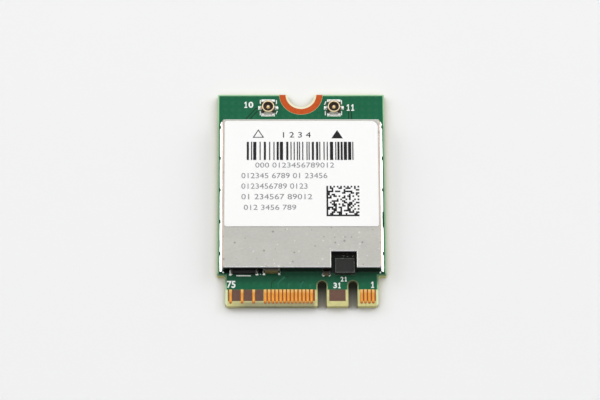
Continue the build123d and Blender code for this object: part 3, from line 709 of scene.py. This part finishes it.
def makeBottomPour():
    look = {"inset": 0.2, "clear": 2.9, "keyGap": 0.2, "padGap": 0.12, "depth": 0.004, "overlap": 0.003}
    maskLow = boxOf("solder_mask_bottom")[0]
    loops = [pourOutline(maskLow.y, look["inset"], look["clear"], look["keyGap"])]
    for low, high in islandBoxes("test_pads"):
        middle = (low + high) / 2
        loops.append(arc(middle.x, middle.y, (high.x - low.x) / 2 + look["padGap"], 0, 345, 23))
    mesh = flatShape("copper_pour_below", loops, maskLow.z - look["depth"], look["depth"] + look["overlap"])
    addPiece("copper_pour_below", mesh, pourGreen)


def makeRibbonTree():
    net, given, out = newGrower("flatRibbons", {"Width": 0.14, "Thickness": 0.015})
    path = net.shape("MeshToCurve", {"Mesh": given["Geometry"]})
    level = net.shape("SetCurveNormal", {"Curve": path}, mode="Z_UP")
    section = net.shape("CurvePrimitiveQuadrilateral", {"Width": given["Width"], "Height": given["Thickness"]})
    strip = net.shape("CurveToMesh", {"Curve": level, "Profile Curve": section, "Fill Caps": True})
    return endGrower(net, given, out, strip)


def runRibbons(name, lines, low, width, thickness, material):
    # each line is a run of (x, y) points in millimetres
    points, edges = [], []
    for line in lines:
        start = len(points)
        points += [(x, y, low + thickness / 2) for x, y in line]
        edges += [(start + step, start + step + 1) for step in range(len(line) - 1)]
    settings = {"Width": width, "Thickness": thickness, "Finish": material}
    return growPiece(name, ribbonTree, points, edges, settings)


def makeTraces():
    # gaps beside the two antenna lines, dark sheets of painted shade in the can's bay and window and of painted shadow
    # under its right front wall, and the gaps and pale traces that run to the contacts
    look = {"lift": 0.002, "floor": 0.009,
            "antennaGaps": [[(-5.75, 13.05), (-6.0, 13.0), (-7.25, 11.55), (-7.35, 11.3)],
                            [(-5.75, 12.65), (-6.55, 11.75), (-6.75, 11.3)],
                            [(5.75, 13.3), (6.15, 13.1), (6.3, 12.8), (6.3, 11.3)],
                            [(5.75, 12.85), (6.5, 12.85), (6.68, 12.5), (6.68, 11.3)]],
            "contactGaps": [[(-3.0, -10.95), (-3.95, -11.75), (-3.95, -12.5)], [(-0.25, -11.75), (0.1, -11.45)],
                            [(1.72, -10.85), (1.72, -11.02)], [(-1.88, -10.85), (-1.88, -11.02)]],
            "contactTraces": [[(-2.2, -10.95), (-3.05, -11.75), (-3.05, -12.5)], [(-1.72, -11.85), (-1.72, -12.5)],
                              [(0.2, -11.6), (-0.15, -12.0), (-0.15, -12.5)], [(1.08, -11.95), (1.08, -12.5)]],
            "floors": (("bay_mask_relief", (3.7, 7.3, -10.35, -7.75), bayGreen),
                       ("window_mask_relief", (-10.1, -2.75, -10.42, -9.15), bayGreen),
                       ("wall_mask_relief", (7.2, 10.15, -10.34, -10.05), gapGreen))}
    low = boardTop + look["lift"]
    runRibbons("antenna_line_gaps", look["antennaGaps"], low, 0.15, 0.006, gapGreen)
    for name, corners, finish in look["floors"]:
        addPiece(name, flatShape(name, [boxLoop(*corners)], boardTop, look["floor"]), finish)
    runRibbons("contact_line_gaps", look["contactGaps"], low, 0.09, 0.006, gapGreen)
    runRibbons("contact_traces", look["contactTraces"], low, 0.26, 0.007, traceGreen)


ribbonTree = makeRibbonTree()
boardTop = boxOf("solder_mask_top")[1].z
makeTopPour()
makeBottomPour()
makeTraces()
print("mask relief done")


# ---- contact fingers

def makeFingerTree():
    # a bar with round ends whose upper face is a little smaller
    net, given, out = newGrower("roundedFingers", {"Width": 0.35, "Length": 2.1, "Thickness": 0.045, "Crown": 0.97})
    thickness = given["Thickness"]
    outline = net.shape("CurvePrimitiveQuadrilateral", {"Width": given["Width"], "Height": given["Length"]})
    rounded = net.shape("FilletCurve", {"Curve": outline, "Count": 6, "Radius": net.times(given["Width"], 0.49)},
                        mode="POLY")
    face = net.shape("FillCurve", {"Curve": rounded}, mode="NGONS")
    wall = net.add("GeometryNodeExtrudeMesh", {"Mesh": face, "Offset Scale": net.times(thickness, 0.6)})
    crown = net.add("GeometryNodeExtrudeMesh", {"Mesh": wall[0], "Selection": wall["Top"],
                                                "Offset Scale": net.times(thickness, 0.4)})
    shrunk = net.shape("ScaleElements", {"Geometry": crown[0], "Selection": crown["Top"], "Scale": given["Crown"]})
    both = net.tree.nodes.new("GeometryNodeJoinGeometry")
    net.feed(both.inputs[0], shrunk)
    net.feed(both.inputs[0], net.shape("FlipFaces", {"Mesh": face}))
    closed = net.shape("MergeByDistance", {"Geometry": both.outputs[0], "Distance": 0.0005})
    placed = net.shape("InstanceOnPoints", {"Points": given["Geometry"], "Instance": closed})
    return endGrower(net, given, out, placed)


def makeFingers():
    look = {"thickness": 0.045, "underMask": 0.12}
    tree = makeFingerTree()
    for side in ("top", "bottom"):
        nodeName = "contact_fingers_" + side
        boxes = islandBoxes(nodeName)
        low, high = boxes[0]
        length = high.y - low.y + look["underMask"]
        base = low.z if side == "top" else high.z
        points = [((box[0].x + box[1].x) / 2, low.y + length / 2, base) for box in boxes]
        settings = {"Width": high.x - low.x, "Length": length, "Thickness": look["thickness"], "Finish": contactGold}
        piece = growPiece("gold_fingers_" + side, tree, points, [], settings, flip=side == "bottom")
        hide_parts(nodeName)


makeFingers()
print("contact fingers done")


# ---- solder along the can's feet, and at the ends of the small parts

def makeBeadTree():
    net, given, out = newGrower("solderBeads", {"Width": 0.34, "Height": 0.3, "Step": 0.14, "Unevenness": 0.05,
                                                "Seed": 1.0})
    width, height = given["Width"], given["Height"]
    path = net.shape("MeshToCurve", {"Mesh": given["Geometry"]})
    even = net.shape("ResampleCurve", {"Curve": path, "Length": given["Step"]}, mode="LENGTH")
    level = net.shape("SetCurveNormal", {"Curve": even}, mode="Z_UP")
    section = net.shape("CurvePrimitiveQuadrilateral", {
        "Point 1": net.vector(0.0, 0.0, 0.0), "Point 2": net.vector(width, 0.0, 0.0),
        "Point 3": net.vector(net.times(width, 0.47), net.times(height, -0.5), 0.0),
        "Point 4": net.vector(0.0, net.times(height, -1.0), 0.0)}, mode="POINTS")
    soft = net.shape("FilletCurve", {"Curve": section, "Count": 2, "Radius": 0.012}, mode="POLY")
    bead = net.shape("CurveToMesh", {"Curve": level, "Profile Curve": soft, "Fill Caps": True})
    waves = net.add("ShaderNodeTexNoise", {"Vector": net.shape("InputPosition"), "W": given["Seed"], "Scale": 1.6},
                    noise_dimensions="4D")[0]
    swell = net.times(net.minus(waves, 0.6), given["Unevenness"])
    push = net.add("ShaderNodeVectorMath", {0: net.shape("InputNormal"), "Scale": swell}, operation="SCALE")[0]
    return endGrower(net, given, out, net.shape("SetPosition", {"Geometry": bead, "Offset": push}))


def makeWallSolder():
    # one bead along each side wall and one at the back: a path runs so that its bead lies outside the wall
    look = {"width": 0.35, "height": 0.2, "backWidth": 0.18, "backHeight": 0.12, "backEnd": 0.85, "pitch": 4.5,
            "bite": 0.45, "longBite": (-4.0, -1.8), "biteReach": 0.13, "biteHeight": 0.09}
    tree = makeBeadTree()
    canLow, canHigh = boxOf("shield_can")
    side, low, high = canHigh.x, canLow.y - 0.02, canHigh.y - 0.16
    points = [(side, low, boardTop), (side, high, boardTop), (-side, high, boardTop), (-side, low, boardTop)]
    piece = growPiece("wall_solder", tree, points, [(0, 1), (2, 3)], {
        "Width": look["width"], "Height": look["height"], "Seed": 3.0, "Finish": tinned})
    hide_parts("shield_solder")
    back = canHigh.x - look["backEnd"]
    growPiece("back_wall_solder", tree, [(back, canHigh.y, boardTop), (-back, canHigh.y, boardTop)], [(0, 1)], {
        "Width": look["backWidth"], "Height": look["backHeight"], "Seed": 5.0, "Finish": tinned})
    # tongues of mask that bite into the outer edge of the beads
    outer = side + look["width"] - look["biteReach"] / 2
    bites = []
    for number in range(5):
        center = canHigh.y - 0.6 - number * look["pitch"]
        for way in (-1, 1):
            bites.append([(way * outer, center - look["bite"] / 2), (way * outer, center + look["bite"] / 2)])
    bites.append([(outer, y) for y in look["longBite"]])
    runRibbons("bead_bites", bites, boardTop, look["biteReach"], look["biteHeight"], gapGreen)


def makeFootTree():
    # a hollow slope of solder in front of an end cap: high at the cap, thin at its far edge
    net, given, out = newGrower("solderFeet", {"Reach": 0.16, "Height": 0.3, "Hollow": 2.0})
    block = net.shape("MeshCube", {"Vertices X": 9, "Vertices Y": 7, "Vertices Z": 2})
    x, y, z = net.parts(net.shape("InputPosition"))
    along = net.plus(x, 0.5)
    across = net.times(net.absolute(y), 2.0)
    slope = net.calc("POWER", net.minus(1.001, along), given["Hollow"])
    crown = net.minus(1.0, net.times(net.calc("POWER", across, 3.0), 0.45))
    bulge = net.minus(1.0, net.times(net.calc("POWER", across, 2.0), 0.3))
    rise = net.times(slope, crown, given["Height"])
    newX = net.times(along, given["Reach"], bulge)
    newZ = net.times(net.plus(z, 0.5), net.plus(rise, 0.012))
    shaped = net.shape("SetPosition", {"Geometry": block, "Position": net.vector(newX, y, newZ)})
    turn, span, tall = (net.shape("InputNamedAttribute", {"Name": label}, data_type="FLOAT")
                        for label in ("turn", "span", "tall"))
    placed = net.shape("InstanceOnPoints", {
        "Points": given["Geometry"], "Instance": shaped, "Rotation": net.vector(0.0, 0.0, turn),
        "Scale": net.vector(1.0, span, tall)})
    return endGrower(net, given, out, placed)


def capPlaces(name, tall, frontToo):
    # point, turn, width and height of the solder at the outer side of each end cap
    boxes = islandBoxes(name)
    places = []
    for number, (low, high) in enumerate(boxes):
        size = high - low
        center = (low + high) / 2
        alongX = size.x < size.y
        # the cap's partner tells which way is out
        partner = None
        for other, (otherLow, otherHigh) in enumerate(boxes):
            away = (otherLow + otherHigh) / 2 - center
            side = abs(away.y if alongX else away.x)
            if other != number and side < 0.05 and (partner is None or away.length < partner.length):
                partner = away
        if partner is None:
            continue
        if alongX:
            after = partner.x <= 0
            places.append(((high.x if after else low.x, center.y, low.z), 0.0 if after else math.pi, size.y, tall))
        else:
            after = partner.y <= 0
            turn = math.pi / 2 if after else -math.pi / 2
            places.append(((center.x, high.y if after else low.y, low.z), turn, size.x, tall))
        if frontToo:
            places.append(((center.x, low.y, low.z), -math.pi / 2, size.x, tall * 0.8))
    return places


def makePartSolder():
    look = {"reach": 0.13, "height": 0.34,
            "front": {"filter_caps": 0.5, "bulk_capacitor_caps": 0.9, "front_capacitor_caps": 0.8},
            "covered": {"diplexer_caps": 0.8, "capacitor_caps": 0.8, "resistor_caps": 0.7, "tuning_coil_caps": 0.8}}
    tree = makeFootTree()
    for name, key, hollow in (("front_part_solder", "front", 0.5), ("part_solder", "covered", 2.0)):
        places = []
        for nodeName, tall in look[key].items():
            places += capPlaces(nodeName, tall, key == "front")
        points, turns, spans, talls = zip(*places)
        growPiece(name, tree, points, [], {
            "Reach": look["reach"], "Height": look["height"], "Hollow": hollow, "Finish": tinned},
            attributes={"turn": turns, "span": spans, "tall": talls})


def makeDomes(name, spots):
    # low round drops of solder: (x, y, half length, half width, height) in millimetres
    around = 16
    rings = ((1.0, 0.0), (0.97, 0.25), (0.86, 0.52), (0.62, 0.8), (0.3, 0.96))
    turns = [2 * math.pi * step / around for step in range(around)]
    shape = bmesh.new()
    for x, y, halfX, halfY, height in spots:
        loops = []
        for part, rise in rings:
            level = (boardTop + height * rise) * mm
            loops.append([shape.verts.new(((x + halfX * part * math.cos(turn)) * mm,
                                           (y + halfY * part * math.sin(turn)) * mm, level)) for turn in turns])
        top = shape.verts.new((x * mm, y * mm, (boardTop + height) * mm))
        for step in range(around):
            after = (step + 1) % around
            for lower, upper in zip(loops, loops[1:]):
                shape.faces.new((lower[step], lower[after], upper[after], upper[step]))
            shape.faces.new((loops[-1][step], loops[-1][after], top))
        shape.faces.new(list(reversed(loops[0])))
    return addPiece(name, endShape(name, shape), frostSolder, keepSharp=70.0)


def makeDrops():
    look = {"corner_solder": [(-10.2, -10.33, 0.13, 0.13, 0.2), (10.2, -10.36, 0.13, 0.13, 0.2),
                              (-5.37, -10.6, 0.07, 0.07, 0.12), (-10.4, 10.76, 0.23, 0.36, 0.18),
                              (10.4, 10.76, 0.23, 0.36, 0.18)],
            "bay_drops": [(5.45, -8.12, 0.07, 0.1, 0.4), (5.95, -8.1, 0.14, 0.05, 0.16),
                          (6.66, -8.12, 0.08, 0.08, 0.22)],
            "front_drops": [(-9.28, -10.68, 0.2, 0.14, 0.24), (-5.8, -10.66, 0.22, 0.13, 0.22),
                            (-4.92, -10.62, 0.22, 0.13, 0.22), (-2.92, -10.6, 0.17, 0.14, 0.26),
                            (2.92, -10.74, 0.13, 0.13, 0.2), (3.56, -10.74, 0.15, 0.13, 0.2)],
            "receptacle_drops": [(-5.46, 13.07, 0.13, 0.25, 0.2), (-3.19, 13.05, 0.24, 0.24, 0.24),
                                 (3.22, 13.07, 0.16, 0.24, 0.2), (5.45, 13.05, 0.24, 0.24, 0.24)]}
    # what lies in front of and behind each receptacle is the same at both
    mirrored = [(4.35, 14.25, 0.72, 0.06, 0.1), (4.98, 14.16, 0.2, 0.12, 0.14), (3.72, 14.16, 0.2, 0.12, 0.14),
                (5.0, 12.04, 0.2, 0.14, 0.16), (3.7, 12.06, 0.2, 0.16, 0.2), (4.5, 12.02, 0.34, 0.08, 0.08),
                (4.1, 12.0, 0.2, 0.07, 0.1)]
    for way in (-1, 1):
        look["receptacle_drops"] += [(way * x, *rest) for x, *rest in mirrored]
    for name, spots in look.items():
        piece = makeDomes(name, spots)
        if name == "receptacle_drops":
            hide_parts("receptacle_solder")


makeWallSolder()
makePartSolder()
makeDrops()
print("solder done")


# ---- print on the label

def makeBarTree():
    # bars and gaps of one to three modules, by chance, from the left until the right end is reached
    net, given, out = newGrower("printedBars", {
        "Count": 90, "Module": 0.1, "Left": -7.0, "Right": 7.0, "Front": 5.0, "Height": 2.6, "Low": 2.28,
        "Thickness": 0.015, "Seed": 4})

    def randomSteps(offset):
        chance = net.add("FunctionNodeRandomValue", {2: 0.0, 3: 1.0, "Seed": net.plus(given["Seed"], offset)},
                         data_type="FLOAT")[1]
        whole = net.calc("FLOOR", net.times(net.calc("POWER", chance, 1.6), 2.999))
        return net.times(net.plus(whole, 1.0), given["Module"])

    line = net.shape("MeshLine", {"Count": given["Count"]})
    width = randomSteps(0.0)
    room = net.plus(width, randomSteps(7.0))
    total = net.add("GeometryNodeAccumulateField", {"Value": room}, data_type="FLOAT")["Trailing"]
    center = net.plus(net.plus(total, given["Left"]), net.times(width, 0.5))
    middleY = net.plus(given["Front"], net.times(given["Height"], 0.5))
    middleZ = net.plus(given["Low"], net.times(given["Thickness"], 0.5))
    laid = net.shape("SetPosition", {"Geometry": line, "Position": net.vector(center, middleY, middleZ)})
    past = net.over(net.parts(net.shape("InputPosition"))[0], given["Right"])
    kept = net.shape("DeleteGeometry", {"Geometry": laid, "Selection": past}, domain="POINT")
    placed = net.shape("InstanceOnPoints", {
        "Points": kept, "Instance": net.shape("MeshCube", {"Size": (1.0, 1.0, 1.0)}),
        "Scale": net.vector(width, given["Height"], given["Thickness"])})
    return endGrower(net, given, out, placed)


def makeCodeTree():
    # a field of small squares by chance, between a solid and a broken border
    net, given, out = newGrower("squareField", {"Cells": 20, "Cell": 0.21, "Thickness": 0.015, "Share": 0.52,
                                                "Seed": 9, "Place": "Vector"})
    cells = given["Cells"]
    size = net.times(net.minus(cells, 1.0), given["Cell"])
    grid = net.shape("MeshGrid", {"Size X": size, "Size Y": size, "Vertices X": cells, "Vertices Y": cells})
    index = net.shape("InputIndex")
    column = net.calc("FLOOR", net.calc("DIVIDE", net.plus(index, 0.5), cells))
    row = net.minus(index, net.times(column, cells))
    last = net.minus(cells, 1.5)
    solid = net.larger(net.under(column, 0.5), net.under(row, 0.5))
    border = net.larger(net.over(column, last), net.over(row, last))
    even = net.under(net.calc("MODULO", net.plus(row, column), 2.0), 0.5)
    chance = net.add("FunctionNodeRandomValue", {"Seed": given["Seed"]}, data_type="FLOAT")[1]
    inside = net.times(net.minus(1.0, border), net.under(chance, given["Share"]))
    keep = net.larger(solid, net.larger(net.times(border, even), inside))
    kept = net.shape("DeleteGeometry", {"Geometry": grid, "Selection": net.under(keep, 0.5)}, domain="POINT")
    side = net.times(given["Cell"], 0.99)
    placed = net.shape("InstanceOnPoints", {
        "Points": kept, "Instance": net.shape("MeshCube", {"Size": (1.0, 1.0, 1.0)}),
        "Scale": net.vector(side, side, given["Thickness"])})
    return endGrower(net, given, out, net.shape("Transform", {"Geometry": placed, "Translation": given["Place"]}))


def numberMark(name, digits, corners, low, thickness, ink, weight=0.0):
    # a line of plain digits, stretched to fill its place
    left, right, front, back = corners
    data = bpy.data.curves.new(name, "FONT")
    data.body = digits
    data.resolution_u = 3
    data.extrude = thickness / 2
    data.offset = weight
    mesh = meshOf(bpy.data.objects.new(name, data))
    lows = [min(vertex.co[axis] for vertex in mesh.vertices) for axis in range(3)]
    highs = [max(vertex.co[axis] for vertex in mesh.vertices) for axis in range(3)]
    scaleX, scaleY = (right - left) * mm / (highs[0] - lows[0]), (back - front) * mm / (highs[1] - lows[1])
    mesh.transform(Matrix.Translation([-value for value in lows]))
    mesh.transform(Matrix.Diagonal((scaleX, scaleY, 1, 1)))
    mesh.transform(Matrix.Translation((left * mm, front * mm, low * mm)))
    addPiece(name, cleanMesh(mesh), ink)


def makeLabelPrint():
    # each line of digits with its left, right, front and back
    look = {"bars": (-7.16, 7.0, 4.95, 2.6), "module": 0.14, "code": (3.2, 7.6, -3.03, 4.3), "cells": 19,
            "share": 0.43, "triangleWide": 1.5, "triangleTall": 1.2,
            "rows": [("000 0123456789012", (-6.04, 4.3, 3.87, 4.59)),
                     ("012345 6789 01 23456", (-7.86, 3.4, 2.35, 3.11)),
                     ("0123456789 0123", (-7.86, 0.8, 0.86, 1.62)),
                     ("01 234567 89012", (-7.86, 1.4, -0.64, 0.12)),
                     ("012 3456 789", (-7.54, -0.7, -2.14, -1.4))]}
    low = boxOf("label")[1].z
    thick = boxOf("label_print")[1].z - low
    left, right, front, height = look["bars"]
    bars = growPiece("label_bars", makeBarTree(), [(0, 0, 0)], [], {
        "Left": left, "Right": right, "Front": front, "Height": height, "Low": low, "Thickness": thick,
        "Module": look["module"], "Seed": 4, "Finish": inkBlack})
    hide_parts("label_print")
    left, right, front, size = look["code"]
    growPiece("label_square_field", makeCodeTree(), [(0, 0, 0)], [], {
        "Cells": look["cells"], "Cell": size / look["cells"], "Thickness": thick, "Seed": 9, "Share": look["share"],
        "Finish": inkBlack, "Place": ((left + right) / 2, front + size / 2, low + thick / 2)})
    for number, (digits, corners) in enumerate(look["rows"]):
        numberMark("label_digits_%d" % number, digits, corners, low, thick, inkGrey)
    numberMark("label_heading_digits", "1 2 3 4", (-2.4, 1.25, 8.17, 8.95), low, thick, inkBlack)
    half, tall = look["triangleWide"] / 2, look["triangleTall"]
    for name, middle, base, hollow in (("label_outline_triangle", -5.64, 8.15, True),
                                       ("label_solid_triangle", 4.72, 8.05, False)):
        loops = [[(middle - half, base), (middle + half, base), (middle, base + tall)]]
        if hollow:
            loops.append([(middle - half + 0.2, base + 0.1), (middle + half - 0.2, base + 0.1),
                          (middle, base + tall - 0.21)])
        addPiece(name, flatShape(name, loops, low, thick), inkBlack)


makeLabelPrint()
print("label print done")


# ---- white legend on the board: dashes, a line and plain numbers

def digitOne(left, right, front, back):
    # a one with a flag and a foot
    wide, tall = right - left, back - front
    corners = ((0, 0), (1, 0), (1, 0.16), (0.74, 0.16), (0.74, 1), (0.4, 1), (0.02, 0.8), (0.02, 0.62),
               (0.38, 0.76), (0.38, 0.16), (0, 0.16))
    return [(left + x * wide, front + y * tall) for x, y in corners]


def makeLegend():
    look = {"ink": 0.013, "lift": 0.004, "dash": 0.13, "line": 0.15, "weight": 0.03,
            "dashes": [[(-5.38, 13.65), (-5.38, 14.25)], [(-5.38, 12.05), (-5.38, 12.65)],
                       [(-3.25, 13.65), (-3.25, 14.2)], [(-3.12, 12.65), (-3.32, 12.2)],
                       [(5.37, 13.6), (5.37, 14.2)], [(5.37, 12.05), (5.37, 12.65)],
                       [(3.22, 12.05), (3.22, 12.65)], [(3.32, 14.05), (3.12, 13.55)]],
            "numbers": {"contact_number_last": ("75", -9.72, -8.6, -12.5, -11.5),
                        "contact_number_first": ("1", 9.0, 9.38, -12.5, -11.62),
                        "coil_number_tens": ("2", 5.05, 5.42, -11.6, -10.92),
                        "coil_number_ones": ("1", 5.55, 5.85, -11.6, -10.92),
                        "tongue_number_tens": ("3", 4.1, 4.56, -12.55, -11.75),
                        "tongue_number_ones": ("1", 4.7, 5.05, -12.55, -11.75),
                        "left_socket_tens": ("1", -7.5, -7.1, 13.1, 14.0),
                        "left_socket_ones": ("0", -6.95, -6.3, 13.1, 14.0),
                        "right_socket_tens": ("1", 6.05, 6.45, 12.68, 13.62),
                        "right_socket_ones": ("1", 6.65, 7.05, 12.68, 13.62)}}
    low, ink = boardTop + look["lift"], look["ink"]
    piece = runRibbons("receptacle_dashes", look["dashes"], low, look["dash"], ink, legendWhite)
    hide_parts("legend_print")
    runRibbons("filter_line", [[(-8.5, -10.78), (-6.6, -10.78)]], low, look["line"], ink, legendWhite)
    for name, (digits, *corners) in look["numbers"].items():
        if digits == "1":
            addPiece(name, flatShape(name, [digitOne(*corners)], low, ink), legendWhite)
        else:
            numberMark(name, digits, corners, low, ink, legendWhite, look["weight"])


makeLegend()
print("legend done")


# ---- antenna receptacles

def makeCollar(name, center, base, top):
    # turned gold collar with a rolled lip: its profile runs round the middle
    look = {"outer": 0.8, "wall": 0.13, "lip": 0.05, "groove": 0.025, "around": 56}
    outer, lip, around = look["outer"], look["lip"], look["around"]
    inner, neck = outer - look["wall"], outer - look["groove"]
    profile = [(outer, base), (outer, base + 0.1), (neck, base + 0.13), (neck, top - 0.12), (outer, top - 0.08),
               (outer, top - lip)]
    profile += [(outer - lip + lip * math.sin(t), top - lip + lip * math.cos(t)) for t in (1.2, 0.8, 0.4, 0.0)]
    profile += [(inner + lip * 0.6, top), (inner + 0.008, top - 0.02), (inner, top - 0.05), (inner, base)]
    size = len(profile)
    verts, faces = [], []
    for step in range(around):
        turn = 2 * math.pi * step / around
        verts += [((center.x + radius * math.cos(turn)) * mm, (center.y + radius * math.sin(turn)) * mm, z * mm)
                  for radius, z in profile]
        here, there = step * size, (step + 1) % around * size
        for number in range(size):
            after = (number + 1) % size
            faces.append((here + number, there + number, there + after, here + after))
    mesh = bpy.data.meshes.new(name)
    mesh.from_pydata(verts, [], faces)
    addPiece(name, cleanMesh(mesh), socketGold, keepSharp=60.0)


def makeReceptacle(side):
    look = {"footRound": 0.018, "blockRound": 0.03, "skinInset": 0.04, "skinCorner": 0.16, "skinHole": 0.79,
            "skinSunk": 0.002, "skin": 0.024}
    low, high = boxOf(side + "_antenna_insulator")
    center = (low + high) / 2
    makeCollar(side + "_collar", center, high.z, boxOf(side + "_antenna_shell")[1].z)
    # the feet are the lower part of the CAD shell, with softened edges
    shape = nodeShape(side + "_antenna_shell")
    geom = shape.verts[:] + shape.edges[:] + shape.faces[:]
    bmesh.ops.bisect_plane(shape, geom=geom, dist=1e-9, plane_co=(0, 0, high.z * mm - 1e-6), plane_no=(0, 0, 1),
                           clear_outer=True)
    bmesh.ops.holes_fill(shape, edges=[edge for edge in shape.edges if edge.is_boundary])
    roundEdges(shape, look["footRound"], 2, 50.0)
    feet = addPiece(side + "_feet", endShape(side + "_feet", shape), capMetal, keepSharp=50.0)
    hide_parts(side + "_antenna_shell")
    # the moulding reaches over the straps up to the collar
    inset, corner = look["skinInset"], look["skinCorner"]
    left, right, front, back = low.x + inset, high.x - inset, low.y + inset, high.y - inset
    outline = [(left + corner, front), (right - corner, front), (right, front + corner), (right, back - corner),
               (right - corner, back), (left + corner, back), (left, back - corner), (left, front + corner)]
    hole = arc(center.x, center.y, look["skinHole"], 0, 352.5, 47)
    skin = flatShape(side + "_moulded_skin", [outline, hole], high.z - look["skinSunk"], look["skin"])
    addPiece(side + "_moulded_skin", skin, darkInsulator)
    softCopy(side + "_insulator_block", side + "_antenna_insulator", darkInsulator, look["blockRound"])


for side in ("left", "right"):
    makeReceptacle(side)
print("receptacles done")


# ---- parts at the front of the can

softCopy("coil_block", "power_coil", coilPowder, 0.1, steps=3)
softCopy("filter_block", "filter_body", blackMould, 0.03)
softCopy("bulk_block", "bulk_capacitor_body", shadedCeramic, 0.04)
for part in ("filter", "bulk_capacitor", "front_capacitor"):
    softCopy(part + "_ends", part + "_caps", dullTin, 0.04)
softCopy("small_block", "front_capacitor_bodies", shadedCeramic, 0.03)
print("front parts done")


# ---- floor, light and camera

def makeFloor():
    look = {"half": 1.6, "drop": 0.00001, "shade": (0.55, 0.86), "shadeTone": tone(206, 205, 199),
            "notchShade": tone(150, 146, 133), "archShade": tone(46, 49, 38)}
    half = look["half"]
    mesh = bpy.data.meshes.new("floor")
    mesh.from_pydata([(-half, -half, 0), (half, -half, 0), (half, half, 0), (-half, half, 0)], [], [(0, 1, 2, 3)])
    floor = bpy.data.objects.new("floor", mesh)
    floor.location.z = -look["drop"]
    bpy.context.scene.collection.objects.link(floor)
    material, net, shader, where = newFinish("palePaperFloor", tone(243, 243, 243), 0.8, specular=0.1)
    paper = net.mix(net.grain(where, 60.0, 0.5, 1.0)["Mask"], tone(247, 247, 247), tone(244, 244, 244))
    # painted shade: the paper darkens where the card stands close round it, and most in the key notches
    closed = net.add("ShaderNodeAmbientOcclusion", {"Distance": 2.0 * mm}, samples=12)["AO"]
    base = net.mix(net.ramp(closed, *look["shade"]), look["shadeTone"], paper)
    depth = net.mix(net.slide(net.parts(where)[1], -14.9, -12.1), look["notchShade"], look["archShade"])
    for center in keyPlaces:
        notch = net.field(where, center - 0.72, center + 0.72, -15.45, -11.25, 0.5)
        shut = net.calc("MULTIPLY", notch, net.ramp(closed, 0.86, 0.7), clamp=True)
        base = net.mix(net.ramp(shut, 0.0, 0.3), base, depth)
    net.feed(shader["Base Color"], base)
    mesh.materials.append(material)


def makeWorld():
    look = {"seen": tone(243, 243, 243), "light": tone(250, 250, 250), "strength": 0.53, "dim": 0.88}
    world = bpy.data.worlds.new("studio")
    world.use_nodes = True
    bpy.context.scene.world = world
    net = Net(world.node_tree)
    net.tree.nodes.clear()
    # the low front of the room, behind the camera, is dim
    way = net.parts(net.add("ShaderNodeTexCoord")["Generated"])
    dim = net.times(net.ramp(way[1], -0.3, -0.65), net.ramp(way[2], 0.75, 0.5), look["dim"])
    level = net.times(net.minus(1.0, dim), look["strength"])
    lighting = net.add("ShaderNodeBackground", {0: look["light"], 1: level})[0]
    seen = net.add("ShaderNodeBackground", {0: look["seen"], 1: 1.0})[0]
    rays = net.add("ShaderNodeLightPath")
    looked = net.larger(net.larger(rays["Is Camera Ray"], rays["Is Glossy Ray"]), rays["Is Transmission Ray"])
    mixed = net.add("ShaderNodeMixShader", {0: looked, 1: lighting, 2: seen})[0]
    net.feed(net.tree.nodes.new("ShaderNodeOutputWorld").inputs[0], mixed)


def addSoftbox(name, place, size, power):
    # a square lamp that looks at the card
    data = bpy.data.lights.new(name, "AREA")
    data.shape = "SQUARE"
    data.size = size
    data.energy = power
    box = bpy.data.objects.new(name, data)
    box.location = place
    box.rotation_euler = (-Vector(place)).to_track_quat("-Z", "Y").to_euler()
    bpy.context.scene.collection.objects.link(box)


def makeCamera():
    # fitted to the board's corners, notches and contacts in the 600 x 400 picture
    look = {"place": (-5.1216, -188.379, 449.578), "pitch": 67.235, "yaw": 1.5017, "roll": 1.3567,
            "focalPixels": 3715.35, "pictureWidth": 600, "sensor": 36.0, "clipStart": 0.01}
    pitch, yaw, roll = (math.radians(look[key]) for key in ("pitch", "yaw", "roll"))
    ahead = Vector((math.sin(yaw) * math.cos(pitch), math.cos(yaw) * math.cos(pitch), -math.sin(pitch)))
    level = Vector((math.cos(yaw), -math.sin(yaw), 0))
    rise = level.cross(ahead)
    right = math.cos(roll) * level + math.sin(roll) * rise
    up = math.cos(roll) * rise - math.sin(roll) * level
    data = bpy.data.cameras.new("camera")
    data.sensor_width = look["sensor"]
    data.lens = look["focalPixels"] * look["sensor"] / look["pictureWidth"]
    data.clip_start = look["clipStart"]
    camera = bpy.data.objects.new("camera", data)
    turn = Matrix((right, up, -ahead)).transposed().to_4x4()
    camera.matrix_world = Matrix.Translation(Vector(look["place"]) * mm) @ turn
    bpy.context.scene.collection.objects.link(camera)
    bpy.context.scene.camera = camera


makeFloor()
makeWorld()
for name, place, size, power in (("overheadSoftbox", (0.0, -0.14, 0.8), 0.3, 1.25),
                                 ("leftSoftbox", (-0.64, 0.3, 0.36), 0.45, 1.8),
                                 ("rightSoftbox", (0.64, 0.3, 0.36), 0.45, 1.9),
                                 ("backSoftbox", (0.0, 0.85, 0.5), 0.6, 2.0)):
    addSoftbox(name, place, size, power)
makeCamera()
bpy.context.scene.view_settings.view_transform = "Standard"
print("stage set")
